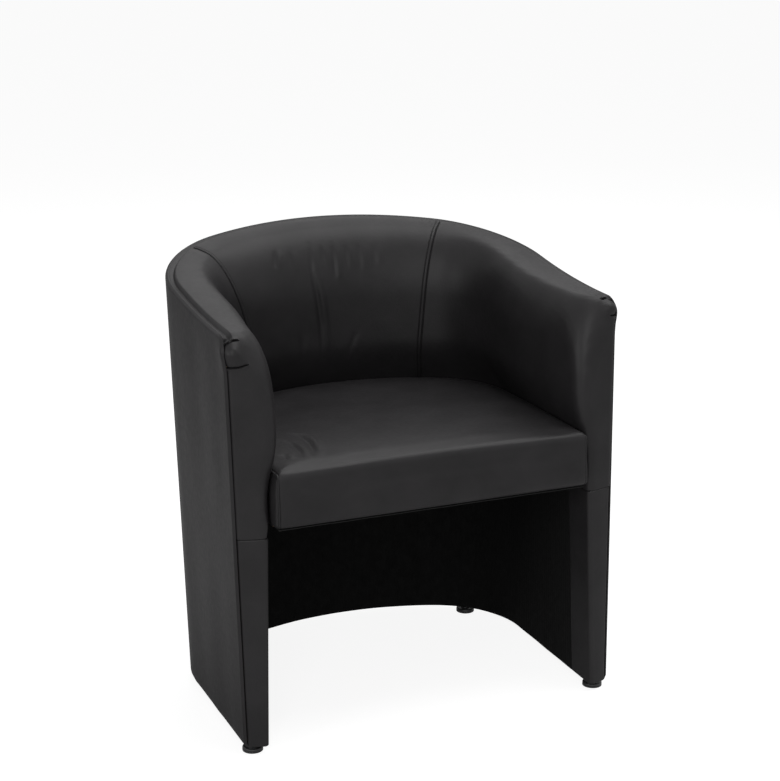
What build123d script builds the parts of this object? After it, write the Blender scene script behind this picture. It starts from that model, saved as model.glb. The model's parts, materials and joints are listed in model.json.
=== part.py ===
from build123d import *
import os
from math import atan2, cos, hypot, radians, sin

# Upholstered club chair: a horseshoe wall is arms, back and legs in one, and a sprung seat hangs inside it.
# Millimetres, +Z up, the sitter faces -Y, origin on the floor below the middle of the chair.

os.makedirs("parts", exist_ok=True)

# Tub, outside of the covers
rim_width = 662.0  # across the arms at the rim
floor_width = 647.0  # outside width at the lower edge
tub_depth = 522.0  # front of the legs to the back of the rim
back_lean = 38.0  # the back stands this much further out at the rim than at the lower edge
front_lean = 28.0  # the arm front stands this much further back at its top than at its foot
back_height = 741.0  # floor to the top of the back
arm_height = 671.0  # floor to the top of the arm front
rim_dip = 19.0  # how far the rim hangs below the straight line from arm to back
lower_edge = 14.0  # floor to the underside of the wall
corner_radius = 200.0  # plan radius of the two rear corners
back_bow = 25.0  # how far the back bows out between its corners
nose_radius = 28.0  # side-view radius where the arm top turns into its front
inner_roll = 36.0  # roundness of the padded edge on the sitter's side
outer_roll = 8.0  # roundness of the padded edge on the outside

# Wall thickness, outer cover to inner cover
thickness_floor = 39.0  # at the lower edge
thickness_seat = 53.0  # at the seat joint
thickness_tuck = 58.5  # beside the top of the seat
thickness_arm = 88.0  # at the fullest height of the padding
seat_joint = 355.0  # height where the padded wall ends and the bare leg begins
tuck_height = 447.0  # height from which the padding swells out over the seat
fullest_height = 507.0  # height from which the padding has its full thickness

# Sheet and board materials
leather = 1.5
lining = 1.2
cloth = 1.0
wadding = 3.0
bent_panel = 4.0
ring_board = 18.0
front_foam = 8.0
rim_foam = 20.5  # foam over the top of the wall frame
frame_inset = 36.0  # outer cover to the inside of the upper wall frame
fit_gap = 0.3  # room left between neighbouring layers
post_depth = 35.0  # front post, front to back
stud_width = 40.0

# Covers
seam_angle = 17.0  # plan angle of the back seams, about the corner centres
edge_seam = 9.0  # edge of the outer cover, below the rim and behind the arm front
leg_roll = 10.0  # roundness of the leg's inner front edge
leg_return = 62.0  # how far the leg cover turns inside the leg

# Seat
seat_bottom = 370.0
seat_crown_height = 466.0  # floor to the top of the seat
seat_crown_radius = 4500.0
seat_crown_y = -170.0  # highest point, near the front edge
seat_proud = 13.0  # seat front, ahead of the arm front
seat_clearance = 3.0  # seat side to wall
seat_edge_radius = 14.0
seat_band_width = 9.0  # side band that shows beside the front panel
rail_width = 50.0
rail_thickness = 20.0
block_leg = 45.0  # corner block, along each rail
strap_width = 60.0
strap_thickness = 1.5
long_strap_pitch = 92.0
long_strap_count = 5
cross_strap_pitch = 84.0
cross_strap_count = 4
strap_hold = 30.0  # strap end on its rail
felt = 2.0

# Seat ledgers and their fasteners
cleat_width = 40.0
cleat_height = 23.0
cleat_setback = 92.0  # front end of a side cleat, behind the leg front
cleat_length = 120.0
back_cleat_length = 210.0
bolt_radius = 3.0
bolt_head_radius = 5.5
bolt_head = 4.5
bolt_bite = 15.0  # bolt in the seat rail
bolt_spacing = 70.0
bolt_from_wall = 28.0
screw_radius = 2.0
screw_head_radius = 4.0
screw_head = 2.2
screw_bite = 18.0  # screw in the seat ring
screw_spacing = 94.0
back_screw_spacing = 150.0
screw_above_ring = 13.0
hole_clearance = 0.15

# Levelling glides
pad_radius = 16.5
pad_height = 7.0
pad_edge = 2.5
pad_floor = 3.0  # plastic under the stem's foot
foot_radius = 5.0
collar_flats = 13.0
thread_radius = 3.95
turning_clearance = 0.05
stem_top = 38.0
insert_radius = 5.5
insert_length = 14.0
flange_radius = 8.5
flange = 1.6
front_glide_setback = 20.0  # glide centre behind the leg front
rear_glide_angle = 41.0  # plan angle of the rear glides, about the corner centres

# Heights and insets that follow from the layers
reach = tub_depth  # past the chair on any side
block_top = back_height + nose_radius
cover_inset = leather + fit_gap
panel_inset = cover_inset + wadding + fit_gap
core_inset = panel_inset + bent_panel + fit_gap
lower_panel_layer = cover_inset + bent_panel
lower_core_layer = lower_panel_layer + fit_gap
inner_panel_inset = frame_inset + fit_gap
foam_back_inset = inner_panel_inset + bent_panel + fit_gap
post_front = cover_inset + front_foam + fit_gap
post_back = post_front + post_depth
frame_drop = cover_inset + rim_foam
post_drop = frame_drop + fit_gap + ring_board + fit_gap
bottom_ring_low = lower_edge + cloth + fit_gap
bottom_ring_high = bottom_ring_low + ring_board
seat_ring_low = seat_joint - ring_board
rail_low = seat_bottom + cloth + fit_gap
rail_high = rail_low + rail_thickness
cross_strap_low = rail_high + strap_thickness + 2 * fit_gap
felt_low = cross_strap_low + strap_thickness + fit_gap
seat_foam_low = felt_low + felt + fit_gap
cleat_high = seat_bottom - fit_gap
cleat_low = cleat_high - cleat_height
screw_height = seat_ring_low + screw_above_ring
collar_high = lower_edge - fit_gap
collar_low = pad_height + fit_gap


# Shape of the tub


def lean_share(height):
    """How far up the wall a height is: 0 at the lower edge, 1 at the top of the back."""
    return (height - lower_edge) / (back_height - lower_edge)


def half_width(height):
    """Half the tub's outer width at a height."""
    return (floor_width + (rim_width - floor_width) * lean_share(height)) / 2


def back_face(height):
    """Y of the outer face of the back at a height."""
    return tub_depth / 2 - back_lean * (1 - lean_share(height))


def front_face(height):
    """Y of the front of the arms and legs at a height."""
    return -tub_depth / 2 + front_lean * (height - lower_edge) / (arm_height - lower_edge)


def corner_center(height):
    """Plan centre of the right rear corner at a height."""
    return half_width(height) - corner_radius, back_face(height) - back_bow - corner_radius


def lower_thickness(height):
    """Wall thickness below the seat joint."""
    share = (height - lower_edge) / (seat_joint - lower_edge)
    return thickness_floor + (thickness_seat - thickness_floor) * share


def upper_thickness(height):
    """Thickness of the padded wall, which grows slowly beside the seat and swells above it."""
    if height < tuck_height:
        share = (height - seat_joint) / (tuck_height - seat_joint)
        return thickness_seat + (thickness_tuck - thickness_seat) * share
    share = min((height - tuck_height) / (fullest_height - tuck_height), 1)
    return thickness_tuck + (thickness_arm - thickness_tuck) * share


def tub_section(height, inset, front=-reach, level=None):
    """Face of the tub's plan at a height, drawn in from the outer cover, placed at a level of its own if given."""
    side = half_width(height) - inset
    back = back_face(height) - inset
    corner = corner_radius - inset
    center_x, center_y = corner_center(height)
    back_radius = (center_x**2 + 2 * corner * back_bow + back_bow**2) / (2 * back_bow)
    back_center = back - back_radius
    turn = atan2(center_x, center_y - back_center)
    meeting = (back_radius * sin(turn), back_center + back_radius * cos(turn))
    with BuildSketch(Plane.XY.offset(height if level is None else level)) as section:
        with BuildLine():
            arm = Line((side, front), (side, center_y))
            rear_corner = TangentArc(arm @ 1, meeting, tangent=arm % 1)
            ThreePointArc(meeting, (0, back), (-meeting[0], meeting[1]))
            mirror([arm, rear_corner], about=Plane.YZ)
            Line(arm @ 0, (-side, front))
        make_face()
    return section.sketch


def tub_block(*levels, mode=Mode.ADD):
    """Solid through the tub's plan at several heights, each level a height and its inset."""
    loft([tub_section(height, inset) for height, inset in levels], ruled=True, mode=mode)


def outer_block(inset, mode=Mode.ADD):
    """Solid inside the tub's outer cover, drawn in by an inset, over the whole height."""
    tub_block((0, inset), (block_top, inset), mode=mode)


def lower_block(layer, mode=Mode.SUBTRACT):
    """Space inside the wall below the seat joint, a layer bigger all round than the lining's face."""
    tub_block((0, lower_thickness(0) - layer), (seat_bottom, lower_thickness(seat_bottom) - layer), mode=mode)


def upper_block(layer, mode=Mode.SUBTRACT):
    """Space inside the wall above the seat joint, a layer bigger all round than the inner cover's face."""
    heights = (seat_ring_low, tuck_height, fullest_height, block_top)
    tub_block(*[(height, upper_thickness(height) - layer) for height in heights], mode=mode)


def side_profile(front_inset, rim_drop, low, nose=0):
    """Side view of the wall above a height, drawn in from the front and down from the rim."""
    arm_front = front_face(arm_height)
    middle = (arm_front + tub_depth / 2) / 2
    sag = (arm_height + back_height) / 2 - rim_dip - rim_drop
    front_low = front_face(low) + front_inset
    front_high = front_face(block_top) + front_inset
    with BuildSketch(Plane.YZ) as profile:
        with BuildLine():
            rim = ThreePointArc(
                (arm_front, arm_height - rim_drop), (middle, sag), (tub_depth / 2, back_height - rim_drop)
            )
            Polyline(rim @ 1, (reach, back_height - rim_drop), (reach, low), (-reach, low))
            Polyline((-reach, low), (-reach, arm_height - rim_drop), rim @ 0)
        make_face()
        with BuildLine():
            Polyline((front_low, low), (front_high, block_top), (-reach, block_top), (-reach, low), close=True)
        make_face(mode=Mode.SUBTRACT)
        if nose:
            tip = (arm_front + front_inset, arm_height - rim_drop)
            fillet(profile.vertices().sort_by_distance(tip)[0], nose)
    return profile.sketch


def trim(front_inset, rim_drop, low, nose=0, mode=Mode.INTERSECT):
    """Keeps, or takes away, what lies inside a side view of the wall."""
    extrude(side_profile(front_inset, rim_drop, low, nose), amount=rim_width, both=True, mode=mode)


def cut_above(height):
    """Takes away everything above a height."""
    with Locations((0, 0, height)):
        Box(2 * reach, 3 * reach, block_top, align=(Align.CENTER, Align.CENTER, Align.MIN), mode=Mode.SUBTRACT)


def wall_inset(point):
    """Horizontal distance of a point in from the outer cover."""
    x = abs(point.X)
    center_x, center_y = corner_center(point.Z)
    if point.Y < center_y:
        return half_width(point.Z) - x
    if x < center_x:
        return back_face(point.Z) - point.Y
    return corner_radius - hypot(x - center_x, point.Y - center_y)


def is_front_edge(edge):
    """True for an edge that runs up the front of an arm or a leg."""
    middle = edge @ 0.5
    rise = abs((edge @ 1).Z - (edge @ 0).Z) / edge.length
    return rise > 0.5 and middle.Y < front_face(middle.Z) + 2 * nose_radius


def is_rim_edge(edge):
    """True for an edge that runs round the rim or down the front of an arm."""
    rise = abs((edge @ 1).Z - (edge @ 0).Z) / edge.length
    lowest = min((edge @ 0).Z, (edge @ 1).Z)
    return is_front_edge(edge) or (rise < 0.5 and lowest > arm_height - 2 * nose_radius)


def is_outer_edge(edge):
    """True for an edge on the outside of the wall rather than on the sitter's side."""
    return wall_inset(edge @ 0.5) < thickness_floor / 2


def padded_wall(wall, inset):
    """The wall above the seat joint with its rolled rim, drawn in all over by an inset."""
    outer_block(inset)
    upper_block(inset)
    trim(inset, inset, seat_joint, nose_radius - inset)
    rim_edges = wall.edges().filter_by(is_rim_edge)
    fillet(rim_edges.filter_by(is_outer_edge, reverse=True), inner_roll - inset)
    rim_edges = wall.edges().filter_by(is_rim_edge)
    fillet(rim_edges.filter_by(is_outer_edge), outer_roll - inset)


def leg_wall(wall, inset):
    """The front of the wall below the seat joint with its rounded edges, drawn in all over by an inset."""
    outer_block(inset)
    lower_block(inset)
    trim(inset, frame_drop, lower_edge)
    cut_above(seat_joint - fit_gap)
    trim(leg_return, frame_drop, 0, mode=Mode.SUBTRACT)
    front_edges = wall.edges().filter_by(is_front_edge)
    front_edges = front_edges.filter_by(lambda edge: (edge @ 0.5).Y < front_face((edge @ 0.5).Z) + inset + fit_gap)
    fillet(front_edges.filter_by(is_outer_edge, reverse=True), leg_roll - inset)
    front_edges = wall.edges().filter_by(is_front_edge)
    front_edges = front_edges.filter_by(lambda edge: (edge @ 0.5).Y < front_face((edge @ 0.5).Z) + inset + fit_gap)
    fillet(front_edges.filter_by(is_outer_edge), outer_roll - inset)


def save(piece, label):
    """Names a finished piece and writes it."""
    piece.part.label = label
    export_step(piece.part, f"parts/{label}.step")


def save_pair(piece, name):
    """Writes the right-hand piece and its left-hand twin."""
    save(piece, f"{name}_right")
    with BuildPart() as twin:
        mirror(piece.part, about=Plane.YZ)
    save(twin, f"{name}_left")


# Where the glides, the cleats and their fasteners stand


def glide_spots():
    """Name and plan place of each glide, on the middle line of the wall's lower edge."""
    middle = thickness_floor / 2
    center_x, center_y = corner_center(lower_edge)
    turn = radians(rear_glide_angle)
    front = (half_width(lower_edge) - middle, front_face(lower_edge) + front_glide_setback)
    rear = (center_x + (corner_radius - middle) * sin(turn), center_y + (corner_radius - middle) * cos(turn))
    return {
        "front_left": (-front[0], front[1]),
        "front_right": front,
        "rear_left": (-rear[0], rear[1]),
        "rear_right": rear,
    }


cleat_inset = upper_thickness(cleat_high) + fit_gap
cleat_outer = half_width(cleat_high) - cleat_inset
cleat_inner = cleat_outer - cleat_width
cleat_middle = front_face(lower_edge) + cleat_setback + cleat_length / 2
back_cleat_outer = back_face(cleat_high) - cleat_inset
bolt_x = cleat_outer - bolt_from_wall
ring_side = half_width(screw_height) - lower_thickness(screw_height) + lower_core_layer
ring_back = back_face(screw_height) - lower_thickness(screw_height) + lower_core_layer


def seat_bolt_shapes(clearance=0, mode=Mode.ADD):
    """The bolts that hold the seat to its side cleats, or the room for them."""
    for x in (-bolt_x, bolt_x):
        for y in (cleat_middle - bolt_spacing / 2, cleat_middle + bolt_spacing / 2):
            base = (Align.CENTER, Align.CENTER, Align.MIN)
            with Locations((x, y, cleat_low - bolt_head)):
                Cylinder(bolt_head_radius + clearance, bolt_head, align=base, mode=mode)
                Cylinder(
                    bolt_radius + clearance,
                    bolt_head + rail_low - cleat_low + bolt_bite + clearance,
                    align=base,
                    mode=mode,
                )


def cleat_screw_shapes(clearance=0, mode=Mode.ADD):
    """The screws that hold the cleats to the seat ring, or the room for them."""
    spots = []
    for step in (-screw_spacing / 2, screw_spacing / 2):
        reach_in = ring_side - cleat_inner + screw_bite
        spots.append((Location((cleat_inner, cleat_middle + step, screw_height), (0, 90, 0)), reach_in))
        spots.append((Location((-cleat_inner, cleat_middle + step, screw_height), (0, -90, 0)), reach_in))
    for step in (-back_screw_spacing / 2, back_screw_spacing / 2):
        reach_in = ring_back - back_cleat_outer + cleat_width + screw_bite
        spots.append((Location((step, back_cleat_outer - cleat_width, screw_height), (-90, 0, 0)), reach_in))
    for spot, reach_in in spots:
        with Locations(spot):
            base = (Align.CENTER, Align.CENTER, Align.MIN)
            Cylinder(screw_radius + clearance, reach_in + clearance, align=base, mode=mode)
            top = (Align.CENTER, Align.CENTER, Align.MAX)
            Cylinder(screw_head_radius + clearance, screw_head, align=top, mode=mode)


# Wall frame

with BuildPart() as bottom_ring:
    outer_block(core_inset)
    lower_block(lower_core_layer)
    trim(post_front, frame_drop, bottom_ring_low)
    cut_above(bottom_ring_high)
    for x, y in glide_spots().values():
        with Locations(Location((x, y, bottom_ring_low), (180, 0, 0))):
            CounterBoreHole(
                insert_radius + hole_clearance, flange_radius + hole_clearance, flange + hole_clearance, ring_board
            )
save(bottom_ring, "bottom_ring")

with BuildPart() as seat_ring:
    outer_block(core_inset)
    lower_block(lower_core_layer)
    trim(post_back + fit_gap, frame_drop, seat_ring_low)
    cut_above(seat_joint)
    cleat_screw_shapes(hole_clearance, Mode.SUBTRACT)
save(seat_ring, "seat_ring")

with BuildPart() as top_rail:
    outer_block(core_inset)
    outer_block(frame_inset, Mode.SUBTRACT)
    trim(post_front, frame_drop + fit_gap, seat_joint)
    trim(-reach / 2, frame_drop + fit_gap + ring_board, seat_ring_low, mode=Mode.SUBTRACT)
save(top_rail, "top_rail")

with BuildPart() as front_post:
    outer_block(core_inset)
    lower_inset = lower_thickness(0) - lower_core_layer
    joint_inset = thickness_seat - lower_core_layer
    tub_block((0, lower_inset), (seat_joint, joint_inset), mode=Mode.SUBTRACT)
    tub_block((seat_joint, frame_inset), (block_top, frame_inset), mode=Mode.SUBTRACT)
    trim(post_front, post_drop, bottom_ring_high + fit_gap)
    trim(post_back, 0, 0, mode=Mode.SUBTRACT)
    split(bisect_by=Plane.YZ)
    front_x, front_y = glide_spots()["front_right"]
    with Locations((front_x, front_y, bottom_ring_high)):
        stem_room = stem_top - bottom_ring_high + 2 * insert_radius
        Cylinder(insert_radius, 2 * stem_room, mode=Mode.SUBTRACT)
save_pair(front_post, "front_post")


def stud_plan():
    """Plan of the upright studs between the rings: two beside the sitter, two in the corners, one behind."""
    center_x, center_y = corner_center(seat_joint)
    with BuildSketch() as plan:
        with Locations((0, center_y - stud_width)):
            Rectangle(2 * reach, stud_width)
        with Locations((0, 0)):
            Rectangle(stud_width, reach, align=(Align.CENTER, Align.MIN))
        for side in (-1, 1):
            with Locations(Location((side * center_x, center_y), -side * rear_glide_angle)):
                Rectangle(stud_width, reach, align=(Align.CENTER, Align.MIN))
    return plan.sketch


with BuildPart() as lower_studs:
    outer_block(core_inset)
    lower_block(lower_core_layer)
    trim(post_back, frame_drop, bottom_ring_high + fit_gap)
    cut_above(seat_ring_low - fit_gap)
    extrude(stud_plan(), amount=block_top, mode=Mode.INTERSECT)
    for name in ("rear_left", "rear_right"):
        rear_x, rear_y = glide_spots()[name]
        with Locations((rear_x, rear_y, bottom_ring_high)):
            Cylinder(insert_radius, 2 * stem_room, mode=Mode.SUBTRACT)
save(lower_studs, "lower_studs")

with BuildPart() as upper_studs:
    outer_block(core_inset)
    outer_block(frame_inset, Mode.SUBTRACT)
    trim(post_back, post_drop, seat_joint + fit_gap)
    extrude(stud_plan(), amount=block_top, mode=Mode.INTERSECT)
save(upper_studs, "upper_studs")

with BuildPart() as outer_panel:
    outer_block(panel_inset)
    outer_block(panel_inset + bent_panel, Mode.SUBTRACT)
    trim(post_front, frame_drop + fit_gap, bottom_ring_low)
save(outer_panel, "outer_panel")

with BuildPart() as inner_panel:
    outer_block(inner_panel_inset)
    outer_block(inner_panel_inset + bent_panel, Mode.SUBTRACT)
    trim(post_front + leg_roll, frame_drop + fit_gap, seat_joint + fit_gap)
save(inner_panel, "inner_panel")

with BuildPart() as lower_inner_panel:
    lower_block(lower_panel_layer, Mode.ADD)
    lower_block(cover_inset)
    trim(post_front, frame_drop, bottom_ring_low)
    cleat_screw_shapes(hole_clearance, Mode.SUBTRACT)
    cut_above(seat_joint)
save(lower_inner_panel, "lower_inner_panel")

# Padding and covers of the wall

with BuildPart() as cover_form:
    padded_wall(cover_form, 0)

with BuildPart() as cover_back:
    padded_wall(cover_back, leather)

with BuildPart() as foam_form:
    padded_wall(foam_form, cover_inset)

with BuildPart() as outer_cover_room:
    outer_block(-leather)
    outer_block(cover_inset, Mode.SUBTRACT)
    trim(edge_seam - fit_gap, edge_seam - fit_gap, 0)

with BuildPart() as frame_room:
    outer_block(-leather)
    outer_block(foam_back_inset, Mode.SUBTRACT)
    trim(-reach / 2, frame_drop, seat_ring_low)

center_x, center_y = corner_center(seat_joint)
seam_turn = radians(seam_angle)
right_seam = Plane(origin=(center_x, center_y, 0), z_dir=(cos(seam_turn), -sin(seam_turn), 0))
left_seam = Plane(origin=(-center_x, center_y, 0), z_dir=(-cos(seam_turn), -sin(seam_turn), 0))


def keep_arm():
    """Keeps the right arm's side of the back seam."""
    split(bisect_by=right_seam.offset(fit_gap / 2))


def keep_back():
    """Keeps what lies between the two back seams."""
    for seam in (left_seam, right_seam):
        split(bisect_by=seam.offset(-fit_gap / 2), keep=Keep.BOTTOM)


with BuildPart() as wall_foam:
    add(foam_form.part)
    add(frame_room.part, mode=Mode.SUBTRACT)

with BuildPart() as arm_foam:
    add(wall_foam.part)
    keep_arm()
save_pair(arm_foam, "arm_foam")

with BuildPart() as back_foam:
    add(wall_foam.part)
    keep_back()
save(back_foam, "back_foam")

with BuildPart() as wall_cover:
    add(cover_form.part)
    add(cover_back.part, mode=Mode.SUBTRACT)
    add(outer_cover_room.part, mode=Mode.SUBTRACT)

with BuildPart() as arm_cover:
    add(wall_cover.part)
    keep_arm()
save_pair(arm_cover, "arm_cover")

with BuildPart() as back_cover:
    add(wall_cover.part)
    keep_back()
save(back_cover, "back_cover")

with BuildPart() as outer_wadding:
    outer_block(cover_inset)
    outer_block(cover_inset + wadding, Mode.SUBTRACT)
    trim(edge_seam, frame_drop + fit_gap, bottom_ring_low)
save(outer_wadding, "outer_wadding")

with BuildPart() as outer_cover:
    outer_block(0)
    outer_block(leather, Mode.SUBTRACT)
    trim(edge_seam, edge_seam, lower_edge)
save(outer_cover, "outer_cover")

with BuildPart() as leg_form:
    leg_wall(leg_form, 0)

with BuildPart() as leg_back:
    leg_wall(leg_back, leather)

with BuildPart() as leg_pad_form:
    leg_wall(leg_pad_form, cover_inset)

with BuildPart() as leg_cover:
    add(leg_form.part)
    add(leg_back.part, mode=Mode.SUBTRACT)
    add(outer_cover_room.part, mode=Mode.SUBTRACT)
    split(bisect_by=Plane.YZ)
save_pair(leg_cover, "leg_cover")

with BuildPart() as front_pad:
    add(leg_pad_form.part)
    outer_block(panel_inset, Mode.INTERSECT)
    trim(cover_inset + front_foam, frame_drop, 0, mode=Mode.SUBTRACT)
    trim(0, frame_drop, bottom_ring_low)
    split(bisect_by=Plane.YZ)
save_pair(front_pad, "leg_foam")

with BuildPart() as arm_front_pad:
    add(foam_form.part)
    outer_block(panel_inset, Mode.INTERSECT)
    outer_block(foam_back_inset - fit_gap, Mode.SUBTRACT)
    trim(0, nose_radius + fit_gap, seat_joint)
    trim(cover_inset + front_foam, 0, 0, mode=Mode.SUBTRACT)
    split(bisect_by=Plane.YZ)
save_pair(arm_front_pad, "arm_front_foam")

with BuildPart() as lower_lining:
    lower_block(lining, Mode.ADD)
    lower_block(0)
    trim(leg_return + fit_gap, frame_drop, lower_edge)
    cut_above(seat_joint - fit_gap)
    cleat_screw_shapes(1.5 * hole_clearance, Mode.SUBTRACT)
save(lower_lining, "lower_lining")

with BuildPart() as underside_cloth:
    outer_block(cover_inset)
    lower_block(cover_inset)
    trim(leg_roll + cover_inset, frame_drop, lower_edge)
    cut_above(lower_edge + cloth)
    for x, y in glide_spots().values():
        with Locations((x, y, lower_edge)):
            Hole(insert_radius)
save(underside_cloth, "underside_cloth")

# Seat

seat_inset = thickness_tuck + seat_clearance
seat_front = front_face(seat_bottom) - seat_proud
seat_side = half_width(seat_crown_height) - seat_inset
rail_inset = cover_inset + rail_width
rail_back = seat_front + rail_inset


def seat_section(inset, level):
    """Plan of the seat at a level, drawn in all round by an inset."""
    return tub_section(seat_crown_height, seat_inset + inset, seat_front + inset, level)


def seat_sheet(inset, low, thickness):
    """A flat piece of the seat with the seat's own outline."""
    extrude(seat_section(inset, low), amount=thickness)


def seat_form(seat, inset, low):
    """The crowned seat with its rounded edges, drawn in all over by an inset."""
    extrude(seat_section(inset, low), amount=seat_crown_height - low)
    corners = seat.edges().filter_by(Axis.Z).group_by(Axis.Y)[0]
    fillet(corners, seat_edge_radius + fit_gap - inset)
    with Locations(Location((0, seat_crown_y, seat_crown_height - seat_crown_radius), (90, 0, 0))):
        Sphere(seat_crown_radius - inset, mode=Mode.INTERSECT)
    fillet(seat.faces().sort_by(Axis.Z)[-1].edges(), seat_edge_radius - inset)


with BuildPart() as seat_outside:
    seat_form(seat_outside, 0, seat_bottom)

with BuildPart() as seat_inside:
    seat_form(seat_inside, leather, seat_bottom)

with BuildPart() as seat_foam:
    seat_form(seat_foam, cover_inset, seat_foam_low)
save(seat_foam, "seat_foam")

band_high = seat_crown_height - 2 * seat_edge_radius

with BuildPart() as seat_band_room:
    with Locations((0, 0, band_high)):
        Box(2 * reach, 2 * reach, reach, align=(Align.CENTER, Align.CENTER, Align.MAX))
    with Locations((0, seat_front, band_high)):
        panel = 2 * (seat_side - seat_band_width)
        Box(panel, rail_width, 3 * reach, mode=Mode.SUBTRACT)

with BuildPart() as seat_band_cut:
    add(seat_band_room.part)
    offset(amount=fit_gap)

with BuildPart() as seat_cover:
    add(seat_outside.part)
    add(seat_inside.part, mode=Mode.SUBTRACT)
    add(seat_band_cut.part, mode=Mode.SUBTRACT)
save(seat_cover, "seat_cover")

with BuildPart() as seat_side_band:
    add(seat_outside.part)
    add(seat_inside.part, mode=Mode.SUBTRACT)
    add(seat_band_room.part, mode=Mode.INTERSECT)
save(seat_side_band, "seat_side_band")

with BuildPart() as seat_dust_cloth:
    seat_sheet(cover_inset + seat_edge_radius / 2, seat_bottom, cloth)
    seat_bolt_shapes(hole_clearance, Mode.SUBTRACT)
save(seat_dust_cloth, "seat_dust_cloth")

rail_joint = corner_center(seat_crown_height)[1] + rail_width

with BuildPart() as seat_front_rail:
    seat_sheet(cover_inset, rail_low, rail_thickness)
    fillet(seat_front_rail.edges().filter_by(Axis.Z).group_by(Axis.Y)[0], seat_edge_radius)
    split(bisect_by=Plane.XZ.offset(-rail_back), keep=Keep.TOP)
save(seat_front_rail, "seat_front_rail")

with BuildPart() as seat_rails:
    seat_sheet(cover_inset, rail_low, rail_thickness)
    extrude(seat_section(rail_inset, rail_low), amount=rail_thickness, mode=Mode.SUBTRACT)
    split(bisect_by=Plane.XZ.offset(-rail_back - fit_gap), keep=Keep.BOTTOM)

with BuildPart() as seat_side_rail:
    add(seat_rails.part)
    split(bisect_by=Plane.XZ.offset(-rail_joint), keep=Keep.TOP)
    split(bisect_by=Plane.YZ)
    seat_bolt_shapes(hole_clearance, Mode.SUBTRACT)
save_pair(seat_side_rail, "seat_side_rail")

with BuildPart() as seat_back_rail:
    add(seat_rails.part)
    split(bisect_by=Plane.XZ.offset(-rail_joint - fit_gap), keep=Keep.BOTTOM)
save(seat_back_rail, "seat_back_rail")

with BuildPart() as corner_blocks:
    block_x = seat_side - rail_inset - fit_gap
    block_y = rail_back + fit_gap
    with BuildSketch(Plane.XY.offset(rail_low)):
        with BuildLine():
            Polyline(
                (block_x, block_y), (block_x - block_leg, block_y), (block_x, block_y + block_leg), close=True
            )
        make_face()
        mirror(about=Plane.YZ)
    extrude(amount=rail_thickness)
save(corner_blocks, "corner_blocks")

with BuildPart() as webbing_long:
    with BuildSketch(Plane.XY.offset(rail_high + fit_gap)):
        with GridLocations(long_strap_pitch, 0, long_strap_count, 1):
            Rectangle(strap_width, 2 * reach)
    extrude(amount=strap_thickness)
    strap_room = seat_section(rail_inset - strap_hold, rail_high)
    extrude(strap_room, amount=rail_thickness, mode=Mode.INTERSECT)
save(webbing_long, "webbing_long")

with BuildPart() as webbing_cross:
    with BuildSketch(Plane.XY.offset(cross_strap_low)):
        with Locations((0, seat_front + seat_side)):
            with GridLocations(0, cross_strap_pitch, 1, cross_strap_count):
                Rectangle(2 * reach, strap_width)
    extrude(amount=strap_thickness)
    extrude(strap_room, amount=rail_thickness, mode=Mode.INTERSECT)
save(webbing_cross, "webbing_cross")

with BuildPart() as seat_felt:
    seat_sheet(cover_inset + seat_edge_radius, felt_low, felt)
save(seat_felt, "seat_felt")

# Seat ledgers and fasteners

with BuildPart() as seat_cleat:
    with Locations((cleat_inner, cleat_middle, cleat_low)):
        Box(cleat_width, cleat_length, cleat_height, align=(Align.MIN, Align.CENTER, Align.MIN))
    seat_bolt_shapes(hole_clearance, Mode.SUBTRACT)
    cleat_screw_shapes(hole_clearance, Mode.SUBTRACT)
save_pair(seat_cleat, "seat_cleat")

with BuildPart() as seat_cleat_back:
    extrude(tub_section(cleat_high, cleat_inset, level=cleat_low), amount=cleat_height)
    with Locations((0, back_cleat_outer - cleat_width, cleat_low)):
        Box(
            back_cleat_length,
            2 * cleat_width,
            cleat_height,
            align=(Align.CENTER, Align.MIN, Align.MIN),
            mode=Mode.INTERSECT,
        )
    cleat_screw_shapes(hole_clearance, Mode.SUBTRACT)
save(seat_cleat_back, "seat_cleat_back")

with BuildPart() as seat_bolts:
    seat_bolt_shapes()
save(seat_bolts, "seat_bolts")

with BuildPart() as cleat_screws:
    cleat_screw_shapes()
save(cleat_screws, "cleat_screws")

# Levelling glides

with BuildPart() as threaded_inserts:
    for x, y in glide_spots().values():
        with Locations((x, y, bottom_ring_low)):
            Cylinder(flange_radius, flange, align=(Align.CENTER, Align.CENTER, Align.MIN))
            Cylinder(insert_radius, insert_length, align=(Align.CENTER, Align.CENTER, Align.MIN))
            Cylinder(thread_radius + turning_clearance, 3 * insert_length, mode=Mode.SUBTRACT)
save(threaded_inserts, "threaded_inserts")

for name, (x, y) in glide_spots().items():
    with BuildPart(Plane(origin=(x, y, 0))) as glide_pad:
        Cylinder(pad_radius, pad_height, align=(Align.CENTER, Align.CENTER, Align.MIN))
        fillet(glide_pad.edges().group_by(Axis.Z)[-1], pad_edge)
        with Locations((0, 0, pad_height)):
            Hole(foot_radius + turning_clearance, pad_height - pad_floor)
    save(glide_pad, f"glide_pad_{name}")

    with BuildPart(Plane(origin=(x, y, pad_floor + 2 * turning_clearance))) as glide_stem:
        Cylinder(foot_radius, collar_low - pad_floor, align=(Align.CENTER, Align.CENTER, Align.MIN))
        Cylinder(thread_radius, stem_top - pad_floor, align=(Align.CENTER, Align.CENTER, Align.MIN))
        with BuildSketch(Plane(origin=(x, y, collar_low))):
            RegularPolygon(collar_flats / 2, 6, major_radius=False)
        extrude(amount=collar_high - collar_low)
    save(glide_stem, f"glide_stem_{name}")
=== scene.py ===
"""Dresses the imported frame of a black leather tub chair: hide covers, seat cushion, cloths and finishes."""

import json
import logging
import math
from contextlib import contextmanager
from dataclasses import dataclass
from enum import Enum
from typing import Callable, Iterator

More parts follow.
